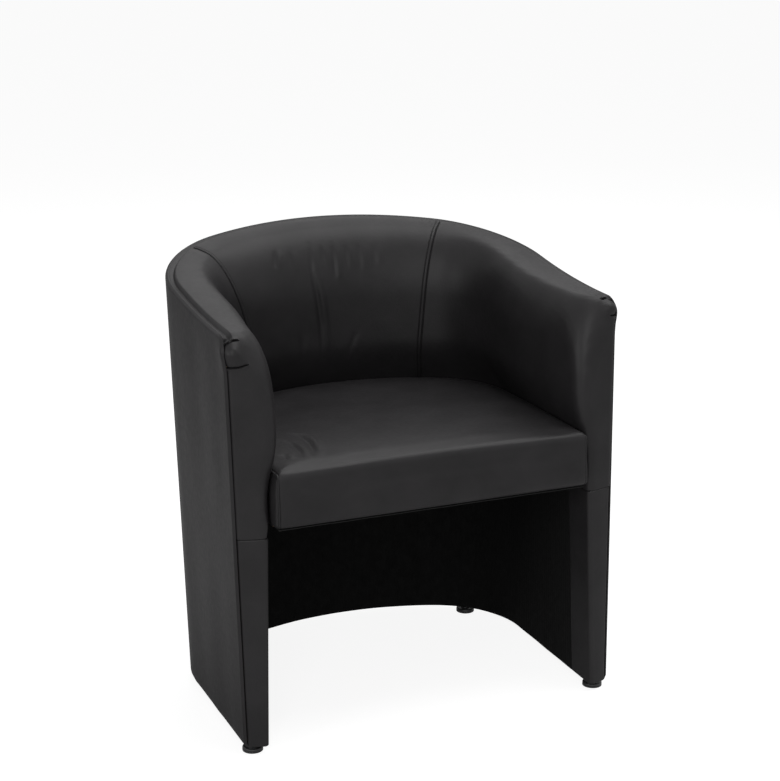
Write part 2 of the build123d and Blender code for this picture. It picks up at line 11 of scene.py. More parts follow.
import bpy
import numpy as np
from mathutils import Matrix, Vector

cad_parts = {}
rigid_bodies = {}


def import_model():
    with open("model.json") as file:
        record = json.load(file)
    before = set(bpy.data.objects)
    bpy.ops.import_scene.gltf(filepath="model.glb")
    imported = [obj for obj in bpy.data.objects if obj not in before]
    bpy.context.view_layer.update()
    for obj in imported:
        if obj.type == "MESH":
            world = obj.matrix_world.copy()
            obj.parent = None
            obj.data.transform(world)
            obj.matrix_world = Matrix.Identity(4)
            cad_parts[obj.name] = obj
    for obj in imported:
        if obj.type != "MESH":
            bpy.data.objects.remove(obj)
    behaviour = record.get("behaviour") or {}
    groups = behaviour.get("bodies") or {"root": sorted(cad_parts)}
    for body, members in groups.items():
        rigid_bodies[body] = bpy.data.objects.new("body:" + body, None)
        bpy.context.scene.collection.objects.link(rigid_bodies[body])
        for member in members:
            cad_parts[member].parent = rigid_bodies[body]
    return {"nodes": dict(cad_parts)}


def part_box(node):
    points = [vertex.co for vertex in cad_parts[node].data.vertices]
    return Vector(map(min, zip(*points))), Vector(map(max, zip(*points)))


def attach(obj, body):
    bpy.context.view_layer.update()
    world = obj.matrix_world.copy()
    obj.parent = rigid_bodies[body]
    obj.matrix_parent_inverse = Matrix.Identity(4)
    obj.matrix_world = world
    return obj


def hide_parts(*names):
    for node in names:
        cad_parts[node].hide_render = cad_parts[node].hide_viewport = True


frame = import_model()

Points = np.ndarray
Piece = bpy.types.Object
Material = bpy.types.Material
Socket = bpy.types.NodeSocket
Triple = tuple[float, float, float]

for stray in [o for o in bpy.data.objects if o.name in ("Cube", "Light", "Camera")]:
    bpy.data.objects.remove(stray)
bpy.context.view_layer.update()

logging.basicConfig(level=logging.INFO, format="%(message)s")
log = logging.getLogger("tub_chair")

BODY = "chair"
MERGE_DISTANCE = 1e-5
SWELL_FRAMES = 20
CLOTH_QUALITY = 4
PATTERN_LOW = 0.25
PATTERN_HIGH = 0.75


class Slot(Enum):
    """The record's material slots."""

    LEATHER = "leather"
    LINING = "lining"
    DUST_CLOTH = "dust_cloth"
    FELT = "felt"
    WEBBING = "webbing"


class Facing(Enum):
    """Which way an open sheet's faces look, seen from the chair's middle."""

    OUT = 1
    IN = -1
    UP = 2
    DOWN = -2


def lone(piece: Piece) -> None:
    """Selects one object alone and makes it the active one.

    Args:
        piece: The object.
    """
    bpy.ops.object.select_all(action="DESELECT")
    piece.select_set(True)
    bpy.context.view_layer.objects.active = piece


@contextmanager
def editing(piece: Piece) -> Iterator[None]:
    """Opens a mesh in edit mode with all of it selected, and closes it afterwards.

    Args:
        piece: The object to edit.

    Yields:
        Nothing, while the mesh is open.
    """
    lone(piece)
    bpy.ops.object.mode_set(mode="EDIT")
    bpy.ops.mesh.select_all(action="SELECT")
    try:
        yield
    finally:
        bpy.ops.object.mode_set(mode="OBJECT")


def read_points(piece: Piece, what: str) -> Points:
    """Reads one vector for each point of a mesh.

    Args:
        piece: The object.
        what: Blender's name of the vector.

    Returns:
        The vectors as rows.
    """
    found = np.empty(len(piece.data.vertices) * 3, dtype=np.float32)
    piece.data.vertices.foreach_get(what, found)
    return found.reshape(-1, 3).astype(float)


def points_of(piece: Piece) -> Points:
    """Gives a mesh's points as rows of x, y, z."""
    return read_points(piece, "co")


def normals_of(piece: Piece) -> Points:
    """Gives the direction that the surface faces at each point."""
    return read_points(piece, "normal")


def move_points(piece: Piece, places: Points) -> None:
    """Puts every point of a mesh at a new place."""
    piece.data.vertices.foreach_set("co", np.ascontiguousarray(places).ravel())
    piece.data.update()


def shift(piece: Piece, move: Points) -> None:
    """Moves each point of a mesh along its normal."""
    move_points(piece, points_of(piece) + normals_of(piece) * move[:, None])


def lay_grid(name: str, columns: int, rows: int, place: Callable[[Points, Points], Points]) -> Piece:
    """Adds a flat grid and lays each of its points on a surface.

    Args:
        name: The piece's name.
        columns: Cells along the first direction.
        rows: Cells along the second direction.
        place: Gives the points for two arrays of shares, each from 0 to 1.

    Returns:
        The shaped sheet, still open at its edges.
    """
    bpy.ops.object.select_all(action="DESELECT")
    bpy.ops.mesh.primitive_grid_add(x_subdivisions=columns, y_subdivisions=rows, size=1.0)
    piece = bpy.context.active_object
    label(piece, name)
    flat = points_of(piece)
    u = np.clip(flat[:, 0] + 0.5, 0.0, 1.0)
    v = np.clip(flat[:, 1] + 0.5, 0.0, 1.0)
    move_points(piece, place(u, v))
    return piece


def close_form(piece: Piece) -> None:
    """Joins a form's meeting edges, caps its open ends and turns its faces outwards.

    Args:
        piece: The form, still open.
    """
    with editing(piece):
        bpy.ops.mesh.remove_doubles(threshold=MERGE_DISTANCE)
        bpy.ops.mesh.select_all(action="SELECT")
        bpy.ops.mesh.fill_holes(sides=0)
        bpy.ops.mesh.select_all(action="SELECT")
        bpy.ops.mesh.normals_make_consistent(inside=False)


def flip_faces(piece: Piece) -> None:
    """Turns all of a mesh's faces over."""
    with editing(piece):
        bpy.ops.mesh.flip_normals()


def turn_faces(piece: Piece, facing: Facing) -> None:
    """Flips an open sheet's faces where they don't look the way asked for.

    Args:
        piece: The open sheet.
        facing: The side that its faces should look to.
    """
    places = points_of(piece)
    normals = normals_of(piece)
    if abs(facing.value) == 2:
        looks = normals[:, 2].mean()
    else:
        looks = (places[:, :2] * normals[:, :2]).sum(1).mean()
    if looks * facing.value < 0:
        flip_faces(piece)


def modify(piece: Piece, kind: str, **settings: object) -> None:
    """Adds a modifier, sets it and applies it.

    Args:
        piece: The object to finish.
        kind: Blender's name of the modifier.
        settings: Values of the modifier's properties.
    """
    lone(piece)
    modifier = piece.modifiers.new(kind.lower(), kind)
    for key, value in settings.items():
        setattr(modifier, key, value)
    bpy.ops.object.modifier_apply(modifier=modifier.name)


def thicken(piece: Piece, thickness: float, offset: float = -1.0) -> None:
    """Makes a closed shell of an open sheet, to the inside of its faces unless told otherwise."""
    modify(piece, "SOLIDIFY", thickness=thickness, offset=offset)


def refine(piece: Piece, near: Callable[[Points], Points], cuts: int) -> None:
    """Divides the faces near a seam or fold, so that it can be crisp.

    Args:
        piece: The mesh to refine.
        near: Says for each face's middle whether it is to be divided.
        cuts: Cuts across each edge.
    """
    mesh = piece.data
    middles = np.empty(len(mesh.polygons) * 3)
    mesh.polygons.foreach_get("center", middles)
    picked = near(middles.reshape(-1, 3))
    bpy.context.tool_settings.mesh_select_mode = (False, False, True)
    with editing(piece):
        bpy.ops.mesh.select_all(action="DESELECT")
    mesh.polygons.foreach_set("select", picked)
    bpy.ops.object.mode_set(mode="EDIT")
    bpy.ops.mesh.subdivide(number_cuts=cuts)
    bpy.ops.object.mode_set(mode="OBJECT")
    bpy.context.tool_settings.mesh_select_mode = (True, False, False)


def cut_off(piece: Piece, point: Points, normal: Points) -> None:
    """Cuts away what lies on the side that a plane's normal points to, and closes the cut."""
    with editing(piece):
        bpy.ops.mesh.bisect(plane_co=point, plane_no=normal, use_fill=True, clear_outer=True)


def label(piece: Piece, name: str) -> None:
    """Names a piece and its mesh."""
    piece.name = name
    piece.data.name = name


def copy_piece(piece: Piece, name: str) -> Piece:
    """Gives a copy of a piece with its own mesh.

    Args:
        piece: The piece to copy.
        name: The copy's name.

    Returns:
        The copy.
    """
    twin = piece.copy()
    twin.data = piece.data.copy()
    label(twin, name)
    bpy.context.scene.collection.objects.link(twin)
    return twin


def join_pieces(pieces: list[Piece], name: str) -> Piece:
    """Joins several meshes into one piece.

    Args:
        pieces: The meshes.
        name: The joined piece's name.

    Returns:
        The first of them, which now holds all.
    """
    lone(pieces[0])
    for piece in pieces:
        piece.select_set(True)
    bpy.ops.object.join()
    label(pieces[0], name)
    return pieces[0]


def hand_over(piece: Piece, slot: Slot, material: Material, *nodes: str, smooth: float = 40.0) -> None:
    """Gives a piece its finish, its body and the CAD nodes that it stands for.

    Args:
        piece: The finished mesh.
        slot: The record's material slot; not used.
        material: The finish.
        nodes: Names of the CAD nodes that it replaces.
        smooth: Faces that meet at less than this angle in degrees are shaded as one.
    """
    lone(piece)
    bpy.ops.object.shade_smooth_by_angle(angle=math.radians(smooth))
    piece.data.materials.clear()
    piece.data.materials.append(material)
    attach(piece, BODY)
    if nodes:
        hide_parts(*nodes)
    log.info("%s: %d faces", piece.name, len(piece.data.polygons))


def ease(x: Points) -> Points:
    """Rises smoothly from 0 to 1 as x does."""
    x = np.clip(x, 0.0, 1.0)
    return x * x * (3.0 - 2.0 * x)


def rounding(gap: Points, radius: Points | float) -> Points:
    """Gives how far a rounded edge has fallen back at a distance from its end."""
    short = np.clip(radius - gap, 0.0, radius)
    return radius - np.sqrt(np.maximum(radius * radius - short * short, 0.0))


def halves(u: Points) -> tuple[Points, Points]:
    """Splits the way round the wall into the side in x and the share of the way from that arm's front."""
    return np.where(u < 0.5, -1.0, 1.0), 1 - np.abs(2 * u - 1)


def between(share: Points, low: float, high: float) -> Points:
    """Gives how far a share has come from one value to another, from 0 to 1."""
    return np.clip((share - low) / (high - low), 0.0, 1.0)


def stop_at(share: Points, stops: Points) -> Points:
    """Gives the place that a share reaches along a list of unevenly spaced stops."""
    return np.interp(share, np.linspace(0, 1, len(stops)), stops)


def swell(piece: Piece, held: Points, cap: float, pressure: float) -> None:
    """Blows a closed form up as cloth, and keeps the result in its mesh.

    Args:
        piece: The closed form, evenly meshed.
        held: Says for each point whether it stays where it is.
        cap: The furthest that a point may move, in metres.
        pressure: The cloth's inner pressure.
    """
    before = points_of(piece)
    group = piece.vertex_groups.new(name="held")
    group.add([int(i) for i in np.nonzero(held)[0]], 1.0, "REPLACE")
    cloth = piece.modifiers.new("swell", "CLOTH")
    cloth.settings.use_pressure = True
    cloth.settings.uniform_pressure_force = pressure
    cloth.settings.vertex_group_mass = group.name
    cloth.settings.effector_weights.gravity = 0.0
    cloth.settings.quality = CLOTH_QUALITY
    for step in range(1, SWELL_FRAMES + 1):
        bpy.context.scene.frame_set(step)
    lone(piece)
    bpy.ops.object.modifier_apply(modifier=cloth.name)
    travel = points_of(piece) - before
    length = np.linalg.norm(travel, axis=1, keepdims=True)
    move_points(piece, before + travel * np.minimum(1.0, cap / np.maximum(length, 1e-9)))
    piece.vertex_groups.clear()
    bpy.context.scene.frame_set(1)


@dataclass(frozen=True)
class TubShape:
    """The chair's wall as a leaning horseshoe, in metres."""

    rim_width: float = 0.662
    floor_width: float = 0.647
    depth: float = 0.522
    back_lean: float = 0.038
    front_lean: float = 0.028
    back_height: float = 0.741
    arm_height: float = 0.671
    rim_dip: float = 0.019
    lower_edge: float = 0.014
    corner_radius: float = 0.200
    back_bow: float = 0.025
    nose_radius: float = 0.028
    seat_joint: float = 0.355
    thickness_floor: float = 0.039
    thickness_seat: float = 0.053
    thickness_arm: float = 0.0715
    end_slant: float = 0.28
    slant_start: float = 0.006
    slant_reach: float = 0.11
    nose_flare: float = 0.0035
    flare_ahead: float = 0.020
    flare_length: float = 0.018
    flare_height: float = 0.016
    swell_start: float = 0.450
    swell_reach: float = 0.08
    nose_behind: float = 0.012
    nose_across: float = 0.056
    path_height: float = 0.67
    rim_guess: float = 0.69
    padding_heights: tuple[float, ...] = (
        0.355, 0.378, 0.412, 0.426, 0.441, 0.456, 0.471, 0.486, 0.502, 0.535)
    padding_depths: tuple[float, ...] = (
        0.0520, 0.0563, 0.0570, 0.0581, 0.0606, 0.0646, 0.0687, 0.0706, 0.0713, 0.0715)
    straight_run: float = 0.264
    corner_run: float = 0.198
    back_run: float = 0.196

    @property
    def half_run(self) -> float:
        """The way along the wall from an arm front to the middle of the back."""
        return self.straight_run + self.corner_run + self.back_run

    def share(self, z: Points) -> Points:
        """Gives how far up the wall a height is."""
        return (z - self.lower_edge) / (self.back_height - self.lower_edge)

    def half_width(self, z: Points) -> Points:
        """Gives half the width outside at a height."""
        return (self.floor_width + (self.rim_width - self.floor_width) * self.share(z)) / 2

    def back_face(self, z: Points) -> Points:
        """Gives where the back's outside stands at a height."""
        return self.depth / 2 - self.back_lean * (1 - self.share(z))

    def front_face(self, z: Points) -> Points:
        """Gives where the wall's front stands at a height."""
        lean = self.front_lean * (z - self.lower_edge) / (self.arm_height - self.lower_edge)
        return -self.depth / 2 + lean

    def lower_thickness(self, z: Points) -> Points:
        """Gives the wall's thickness below the seat."""
        grow = (self.thickness_seat - self.thickness_floor) / (self.seat_joint - self.lower_edge)
        return self.thickness_floor + grow * (z - self.lower_edge)

    def upper_thickness(self, z: Points) -> Points:
        """Gives the padded wall's thickness above the seat joint, where it swells over the seat."""
        return np.interp(z, self.padding_heights, self.padding_depths)

    def swollen(self, z: Points, deepest: Points) -> Points:
        """Gives the same thickness where the padding above the seat is deeper."""
        risen = ease((z - self.swell_start) / self.swell_reach)
        return self.upper_thickness(z) + (deepest - self.thickness_arm) * risen

    def rim(self, y: Points) -> Points:
        """Gives the rim's height in side view, an arc that sags between arm front and back.

        Args:
            y: Places from front to back.

        Returns:
            The heights.
        """
        front = self.front_face(self.arm_height)
        half = (self.depth / 2 - front) / 2
        rise = (self.back_height - self.arm_height) / 2
        chord = math.hypot(half, rise)
        radius = (chord * chord + self.rim_dip * self.rim_dip) / (2 * self.rim_dip)
        lift = radius - self.rim_dip
        middle_y = front + half - lift * rise / chord
        middle_z = self.arm_height + rise + lift * half / chord
        return middle_z - np.sqrt(radius * radius - (y - middle_y) ** 2)

    def front_gap(self, run: Points, z: Points) -> Points:
        """Gives how far behind the front a place on the straight of an arm is."""
        middle = self.back_face(z) - self.corner_radius - self.back_bow
        return run / self.straight_run * (middle - self.front_face(z))

    def run_at(self, gap: Points, z: Points) -> Points:
        """Gives the way along an arm to a place that is a gap behind the front."""
        return gap * self.straight_run / self.front_gap(self.straight_run, z)

    def turned(self, gap: Points, inset: Points) -> Points:
        """Gives how far forward a place near the wall's end lies, as the end is cut on the slant."""
        ahead = self.end_slant * np.maximum(inset - self.slant_start, 0.0)
        return ahead * (1 - ease(gap / self.slant_reach))

    def bends(self, z: Points, inset: Points | float) -> tuple[Points, Points, Points, Points]:
        """Finds the wall's bends in plan.

        Args:
            z: Heights.
            inset: Depths inside the outer face.

        Returns:
            The x and y of the corner's middle, the back's radius and the angle of half the back.
        """
        corner_x = self.half_width(z) - self.corner_radius
        corner_y = self.back_face(z) - self.corner_radius - self.back_bow
        radius = self.corner_radius - inset
        bow = self.back_bow
        back_radius = (corner_x ** 2 + 2 * radius * bow + bow ** 2) / (2 * bow)
        return corner_x, corner_y, back_radius, np.arcsin(corner_x / (back_radius - radius))

    def lay(self, run: Points, side: Points, z: Points, inset: Points) -> Points:
        """Finds points of the wall.

        Args:
            run: The way along the wall from the arm front, up to half_run at the middle of the back.
            side: -1 for the sitter's right half, at negative x, and 1 for the other.
            z: Heights.
            inset: Depths inside the outer face.

        Returns:
            The points as rows.
        """
        corner_x, corner_y, back_radius, turn = self.bends(z, inset)
        radius = self.corner_radius - inset
        front = self.front_face(z)
        ahead = np.clip(run / self.straight_run, None, 1.0)
        angle = np.clip((run - self.straight_run) / self.corner_run, 0.0, 1.0) * (math.pi / 2 - turn)
        last = np.clip((run - self.straight_run - self.corner_run) / self.back_run, 0.0, 1.0)
        swing = turn * (1 - last)
        x = np.where(last > 0, back_radius * np.sin(swing), corner_x + radius * np.cos(angle))
        y_bend = np.where(
            last > 0,
            corner_y + radius + self.back_bow - back_radius + back_radius * np.cos(swing),
            corner_y + radius * np.sin(angle),
        )
        y = np.where(run < self.straight_run, front + ahead * (corner_y - front), y_bend)
        y = y - self.turned(np.maximum(y - front, 0.0), inset)
        return np.stack([side * x, y, z + 0 * x], axis=-1)

    def rim_above(self, run: Points, inset: Points) -> Points:
        """Gives the rim's height above a place on the wall.

        Args:
            run: The way along the wall.
            inset: Depths inside the outer face.

        Returns:
            The heights.
        """
        z = np.full_like(run, self.rim_guess)
        for _ in range(3):
            z = self.rim(self.lay(run, np.ones_like(run), z, inset)[:, 1])
        return z

    def edge_depth(self, places: Points) -> Points:
        """Gives how far inside the wall's outline in side view each point is.

        Args:
            places: The points.

        Returns:
            The distances from the front, the rim or the arc between them.
        """
        gap = places[:, 1] - self.front_face(places[:, 2])
        drop = self.rim(places[:, 1]) - places[:, 2]
        nose = self.nose_radius
        rounded = nose - np.hypot(nose - gap, nose - drop)
        return np.where((gap < nose) & (drop < nose), rounded, np.minimum(gap, drop))

    def nose_middle(self) -> tuple[float, float]:
        """Gives the y and z of the middle of the arc over the arm's front."""
        y = float(self.front_face(self.arm_height)) + self.nose_radius
        return y, float(self.rim(y)) - self.nose_radius

    def flare(self, places: Points) -> Points:
        """Gives how far the stuffed corner at the arm's nose stands out at the side.

        Args:
            places: Points of the wall.

        Returns:
            The distances, nothing away from the nose.
        """
        y, z = self.nose_middle()
        ahead = (places[:, 1] - y + self.flare_ahead) / self.flare_length
        above = (places[:, 2] - z) / self.flare_height
        return self.nose_flare * np.exp(-ahead ** 2 - above ** 2)

    def nose_way(self, places: Points) -> tuple[Points, Points]:
        """Unrolls the arm's nose.

        Args:
            places: Points near it.

        Returns:
            The way up the front and over the nose, 0 where the arc starts, and the depth inside.
        """
        y, z = self.nose_middle()
        radius = self.nose_radius
        turn = np.arctan2(places[:, 2] - z, np.maximum(y - places[:, 1], 1e-9))
        way = np.where(places[:, 1] > y, radius * math.pi / 2 + places[:, 1] - y, radius * turn)
        way = np.where(places[:, 2] < z, places[:, 2] - z, way)
        return way, self.half_width(places[:, 2]) - np.abs(places[:, 0])

    def at_nose(self, places: Points, below: float = 0.045) -> Points:
        """Says which places lie on the nose.

        Args:
            places: Points of the wall.
            below: How far down the front it reaches from where the arc starts.

        Returns:
            True for each point on it.
        """
        way, depth = self.nose_way(places)
        ahead = places[:, 1] < self.nose_middle()[0] + self.nose_behind
        return (way > -below) & ahead & (depth < self.nose_across)

    def inside(self, places: Points) -> Points:
        """Gives how far inside the wall's outer face each point is.

        Args:
            places: The points.

        Returns:
            The distances in plan.
        """
        x = np.abs(places[:, 0])
        z = places[:, 2]
        corner_x, corner_y, back_radius, turn = self.bends(z, 0.0)
        back_y = self.back_face(z) - back_radius
        behind = np.arctan2(x, places[:, 1] - back_y) < turn
        round_corner = self.corner_radius - np.hypot(x - corner_x, places[:, 1] - corner_y)
        round_back = back_radius - np.hypot(x, places[:, 1] - back_y)
        found = np.where(behind, round_back, round_corner)
        return np.where(places[:, 1] < corner_y, self.half_width(z) - x, found)

    def edge_path(self, first: float) -> tuple[Points, Points, Points]:
        """Follows the rim's outer edge from one arm's nose over the back to the other's.

        Args:
            first: The angle up the nose where the path begins.

        Returns:
            The points, the direction into the wall's thickness and the direction into the padding.
        """
        nose = self.nose_radius
        nose_y, nose_z = self.nose_middle()
        turn = np.linspace(first, math.pi / 2, 16)
        bend_z = nose_z + nose * np.sin(turn)
        bend_y = nose_y - nose * np.cos(turn)
        bend = np.stack([self.half_width(bend_z), bend_y, bend_z], axis=-1)
        start = self.run_at(nose, self.path_height)
        run = np.linspace(start, self.half_run, 150)[1:]
        height = self.rim_above(run, np.zeros_like(run))
        rim = self.lay(run, np.ones_like(run), height, np.zeros_like(run))
        inner = self.lay(run, np.ones_like(run), height, np.full_like(run, 0.01))
        across = np.repeat([[-1.0, 0.0, 0.0]], len(turn), axis=0)
        along = (inner - rim) / np.linalg.norm(inner - rim, axis=1, keepdims=True)
        into = np.concatenate([
            np.stack([0 * turn, np.cos(turn), -np.sin(turn)], axis=-1),
            np.repeat([[0.0, 0.0, -1.0]], len(run), axis=0),
        ])
        half = np.concatenate([bend, rim])
        inward = np.concatenate([across, along])
        flip = np.array([-1.0, 1.0, 1.0])
        return (
            np.concatenate([half * flip, half[-2::-1]]),
            np.concatenate([inward * flip, inward[-2::-1]]),
            np.concatenate([into * flip, into[-2::-1]]),
        )


TUB = TubShape()


class NodeBoard:
    """A material's node tree, with short calls that add and join its nodes."""

    def __init__(self, name: str) -> None:
        """Starts an empty material with one shader.

        Args:
            name: The material's name.
        """
        self.material = bpy.data.materials.new(name)
        self.material.use_nodes = True
        self.tree = self.material.node_tree
        self.shader = self.tree.nodes["Principled BSDF"]
        self.place = self.add("ShaderNodeTexCoord").outputs["Object"]

    def add(self, kind: str, **inputs: object) -> bpy.types.Node:
        """Adds a node and sets its inputs.

        Args:
            kind: Blender's name of the node.
            inputs: Values of its inputs, with spaces in their names as underscores.

        Returns:
            The node.
        """
        node = self.tree.nodes.new(kind)
        for key, value in inputs.items():
            node.inputs[key.replace("_", " ")].default_value = value
        return node

    def join(self, out: Socket, into: Socket) -> None:
        """Joins an output to an input."""
        self.tree.links.new(out, into)

    def dial(self, **values: float) -> None:
        """Sets constants on the shader, with spaces in their names as underscores."""
        for key, value in values.items():
            self.shader.inputs[key.replace("_", " ")].default_value = value

    def noise(self, scale: float, detail: float, place: Socket | None = None) -> Socket:
        """Gives a noise pattern.

        Args:
            scale: Its fineness per metre.
            detail: How many finer layers it holds.
            place: The coordinates, the object's own unless given.

        Returns:
            The pattern's output.
        """
        node = self.add("ShaderNodeTexNoise", Scale=scale, Detail=detail)
        self.join(place or self.place, node.inputs["Vector"])
        return node.outputs["Fac"]

    def stretched(self, x: float, y: float, z: float) -> Socket:
        """Gives the object's coordinates, scaled along each axis.

        Args:
            x: The scale along x.
            y: The scale along y.
            z: The scale along z.

        Returns:
            The scaled coordinates.
        """
        node = self.add("ShaderNodeMapping", Scale=(x, y, z))
        self.join(self.place, node.inputs["Vector"])
        return node.outputs["Vector"]

    def spread(self, value: Socket, low: float, high: float) -> Socket:
        """Maps a pattern's middle range to a range of values.

        Args:
            value: The pattern.
            low: The value where the pattern is low.
            high: The value where it is high.

        Returns:
            The mapped pattern.
        """
        span = {"From_Min": PATTERN_LOW, "From_Max": PATTERN_HIGH, "To_Min": low, "To_Max": high}
        node = self.add("ShaderNodeMapRange", **span)
        self.join(value, node.inputs["Value"])
        return node.outputs["Result"]

    def rough(self, scale: float, detail: float, low: float, high: float) -> None:
        """Lets a noise pattern vary the shader's roughness."""
        self.join(self.spread(self.noise(scale, detail), low, high), self.shader.inputs["Roughness"])

    def tint(self, value: Socket, *colours: Triple) -> None:
        """Colours the shader by a pattern.

        Args:
            value: The pattern.
            colours: The colours from its lowest to its highest value.
        """
        ramp = self.add("ShaderNodeValToRGB")
        steps = ramp.color_ramp.elements
        while len(steps) < len(colours):
            steps.new(0.5)
        for index, colour in enumerate(colours):
            steps[index].position = np.interp(index, (0, len(colours) - 1), (PATTERN_LOW, PATTERN_HIGH))
            steps[index].color = (*colour, 1.0)
        self.join(value, ramp.inputs["Fac"])
        self.join(ramp.outputs["Color"], self.shader.inputs["Base Color"])

    def bump(self, *layers: tuple[Socket, float, float]) -> None:
        """Puts relief on the shader.

        Args:
            layers: Patterns with their height in metres and strength, coarsest first.
        """
        last = None
        for height, distance, strength in layers:
            node = self.add("ShaderNodeBump", Distance=distance, Strength=strength)
            self.join(height, node.inputs["Height"])
            if last is not None:
                self.join(last, node.inputs["Normal"])
            last = node.outputs["Normal"]
        self.join(last, self.shader.inputs["Normal"])


@dataclass(frozen=True)
class Leather:
    """Black hide with a fine pebbled grain and a satin finish."""

    name: str = "black_hide"
    dark: Triple = (0.0160, 0.0152, 0.0160)
    light: Triple = (0.0240, 0.0228, 0.0240)
    grain: float = 640.0
    rough_low: float = 0.45
    rough_high: float = 0.60
    specular: float = 0.012
    finish: float = 0.18
    finish_ior: float = 1.8
    finish_rough: float = 0.40

    def make(self) -> Material:
        """Builds the hide's nodes.

        Returns:
            The material.
        """
        board = NodeBoard(self.name)
        cells = board.add("ShaderNodeTexVoronoi", Scale=self.grain)
        board.join(board.place, cells.inputs["Vector"])
        board.tint(board.noise(17.0, 4.0), self.dark, self.light)
        board.rough(scale=120.0, detail=3.0, low=self.rough_low, high=self.rough_high)
        board.bump(
            (board.noise(22.0, 1.0), 0.0040, 0.10),
            (board.noise(140.0, 2.0), 0.0010, 0.10),
            (cells.outputs["Distance"], 0.0004, 0.22),
        )
        board.join(board.shader.inputs["Normal"].links[0].from_socket, board.shader.inputs["Coat Normal"])
        board.dial(Specular_IOR_Level=self.specular, Coat_Weight=self.finish)
        board.dial(Coat_IOR=self.finish_ior, Coat_Roughness=self.finish_rough)
        return board.material


@dataclass(frozen=True)
class Weave:
    """Cloth of crossing threads."""

    name: str
    dark: Triple
    light: Triple
    pitch: float = 900.0
    rough: float = 0.85
    specular: float = 0.25

    def make(self) -> Material:
        """Builds the cloth's nodes.

        Returns:
            The material.
        """
        board = NodeBoard(self.name)
        heights = []
        for axis, turn in (("X", 0.0), ("Y", 1.5)):
            wave = board.add("ShaderNodeTexWave", Scale=self.pitch / 20.0, Distortion=0.4, Phase_Offset=turn)
            wave.bands_direction = axis
            board.join(board.place, wave.inputs["Vector"])
            heights.append(wave.outputs["Fac"])
        board.tint(board.noise(260.0, 3.0), self.dark, self.light)
        board.rough(scale=60.0, detail=2.0, low=self.rough - 0.08, high=self.rough + 0.06)
        board.bump((heights[0], 0.0005, 0.4), (heights[1], 0.0005, 0.4))
        board.dial(Specular_IOR_Level=self.specular)
        return board.material


@dataclass(frozen=True)
class Timber:
    """Sawn wood with its grain along one axis."""

    name: str
    dark: Triple
    light: Triple
    along: Triple = (30.0, 30.0, 3.0)
    layered: bool = False

    def make(self) -> Material:
        """Builds the wood's nodes.

        Returns:
            The material.
        """
        board = NodeBoard(self.name)
        fibre = board.noise(6.0, 6.0, board.stretched(*self.along))
        board.tint(fibre, self.dark, self.light)
        board.rough(scale=45.0, detail=3.0, low=0.55, high=0.7)
        if self.layered:
            plies = board.add("ShaderNodeTexWave", Scale=90.0, Distortion=0.6)
            plies.bands_direction = "Z"
            board.join(board.place, plies.inputs["Vector"])
            board.bump((plies.outputs["Fac"], 0.0004, 0.3), (fibre, 0.0003, 0.3))
        else:
            board.bump((fibre, 0.0005, 0.35))
        return board.material


@dataclass(frozen=True)
class PlatedSteel:
    """Zinc-plated steel with a fine spangle."""

    name: str = "zinc_plated_steel"
    dark: Triple = (0.46, 0.47, 0.48)
    light: Triple = (0.64, 0.65, 0.66)

    def make(self) -> Material:
        """Builds the plating's nodes.

        Returns:
            The material.
        """
        board = NodeBoard(self.name)
        board.tint(board.noise(420.0, 3.0), self.dark, self.light)
        board.dial(Metallic=1.0)
        board.rough(scale=900.0, detail=2.0, low=0.26, high=0.42)
        board.bump((board.noise(1500.0, 2.0), 0.0001, 0.15))
        return board.material


@dataclass(frozen=True)
class MouldedPlastic:
    """Black moulded nylon, finely textured and scuffed."""

    name: str = "black_nylon"
    dark: Triple = (0.008, 0.008, 0.009)
    light: Triple = (0.020, 0.020, 0.021)

    def make(self) -> Material:
        """Builds the plastic's nodes.

        Returns:
            The material.
        """
        board = NodeBoard(self.name)
        board.tint(board.noise(180.0, 4.0), self.dark, self.light)
        board.rough(scale=300.0, detail=3.0, low=0.36, high=0.52)
        board.bump((board.noise(1400.0, 2.0), 0.00015, 0.3))
        return board.material


@dataclass(frozen=True)
class Crease:
    """A soft fold in the hide along a line, a valley with a ridge beside it."""

    path: tuple[Triple, ...]
    depth: float
    width: float
    ridge: float = 0.6
    ridge_place: float = 2.0
    ridge_width: float = 1.3
    end_fade: float = 0.7
    margin: float = 0.012

    def press(self, piece: Piece) -> None:
        """Moves the points near the line in and out along the surface's normals.

        Args:
            piece: The padded piece that takes the fold.
        """
        places = points_of(piece)
        line = np.array(self.path)
        reach = self.margin + 5 * self.width
        near = np.all((places > line.min(0) - reach) & (places < line.max(0) + reach), axis=1)
        if not near.any():
            return
        spots = places[near]
        normals = normals_of(piece)[near]
        best = np.full(len(spots), np.inf)
        across = np.zeros(len(spots))
        share = np.zeros(len(spots))
        for index in range(len(line) - 1):
            way = line[index + 1] - line[index]
            t = np.clip((spots - line[index]) @ way / (way @ way), 0.0, 1.0)
            off = spots - line[index] - t[:, None] * way
            off -= normals * (off * normals).sum(1, keepdims=True)
            side = np.cross(normals, way)
            side /= np.linalg.norm(side, axis=1, keepdims=True) + 1e-12
            distance = np.linalg.norm(off, axis=1)
            closer = distance < best
            best = np.where(closer, distance, best)
            across = np.where(closer, (off * side).sum(1), across)
            share = np.where(closer, (index + t) / (len(line) - 1), share)
        fade = np.sin(math.pi * np.clip(share, 0.02, 0.98)) ** self.end_fade
        beyond = np.maximum(best ** 2 - across ** 2, 0.0)
        fade = fade * np.exp(-beyond / self.width ** 2)
        valley = -np.exp(-((across / self.width) ** 2))
        beside = (across - self.ridge_place * self.width) / (self.ridge_width * self.width)
        crest = self.ridge * np.exp(-(beside ** 2))
        move = self.depth * fade * (valley + crest)
        places[near] = spots + normals * move[:, None]
        move_points(piece, places)


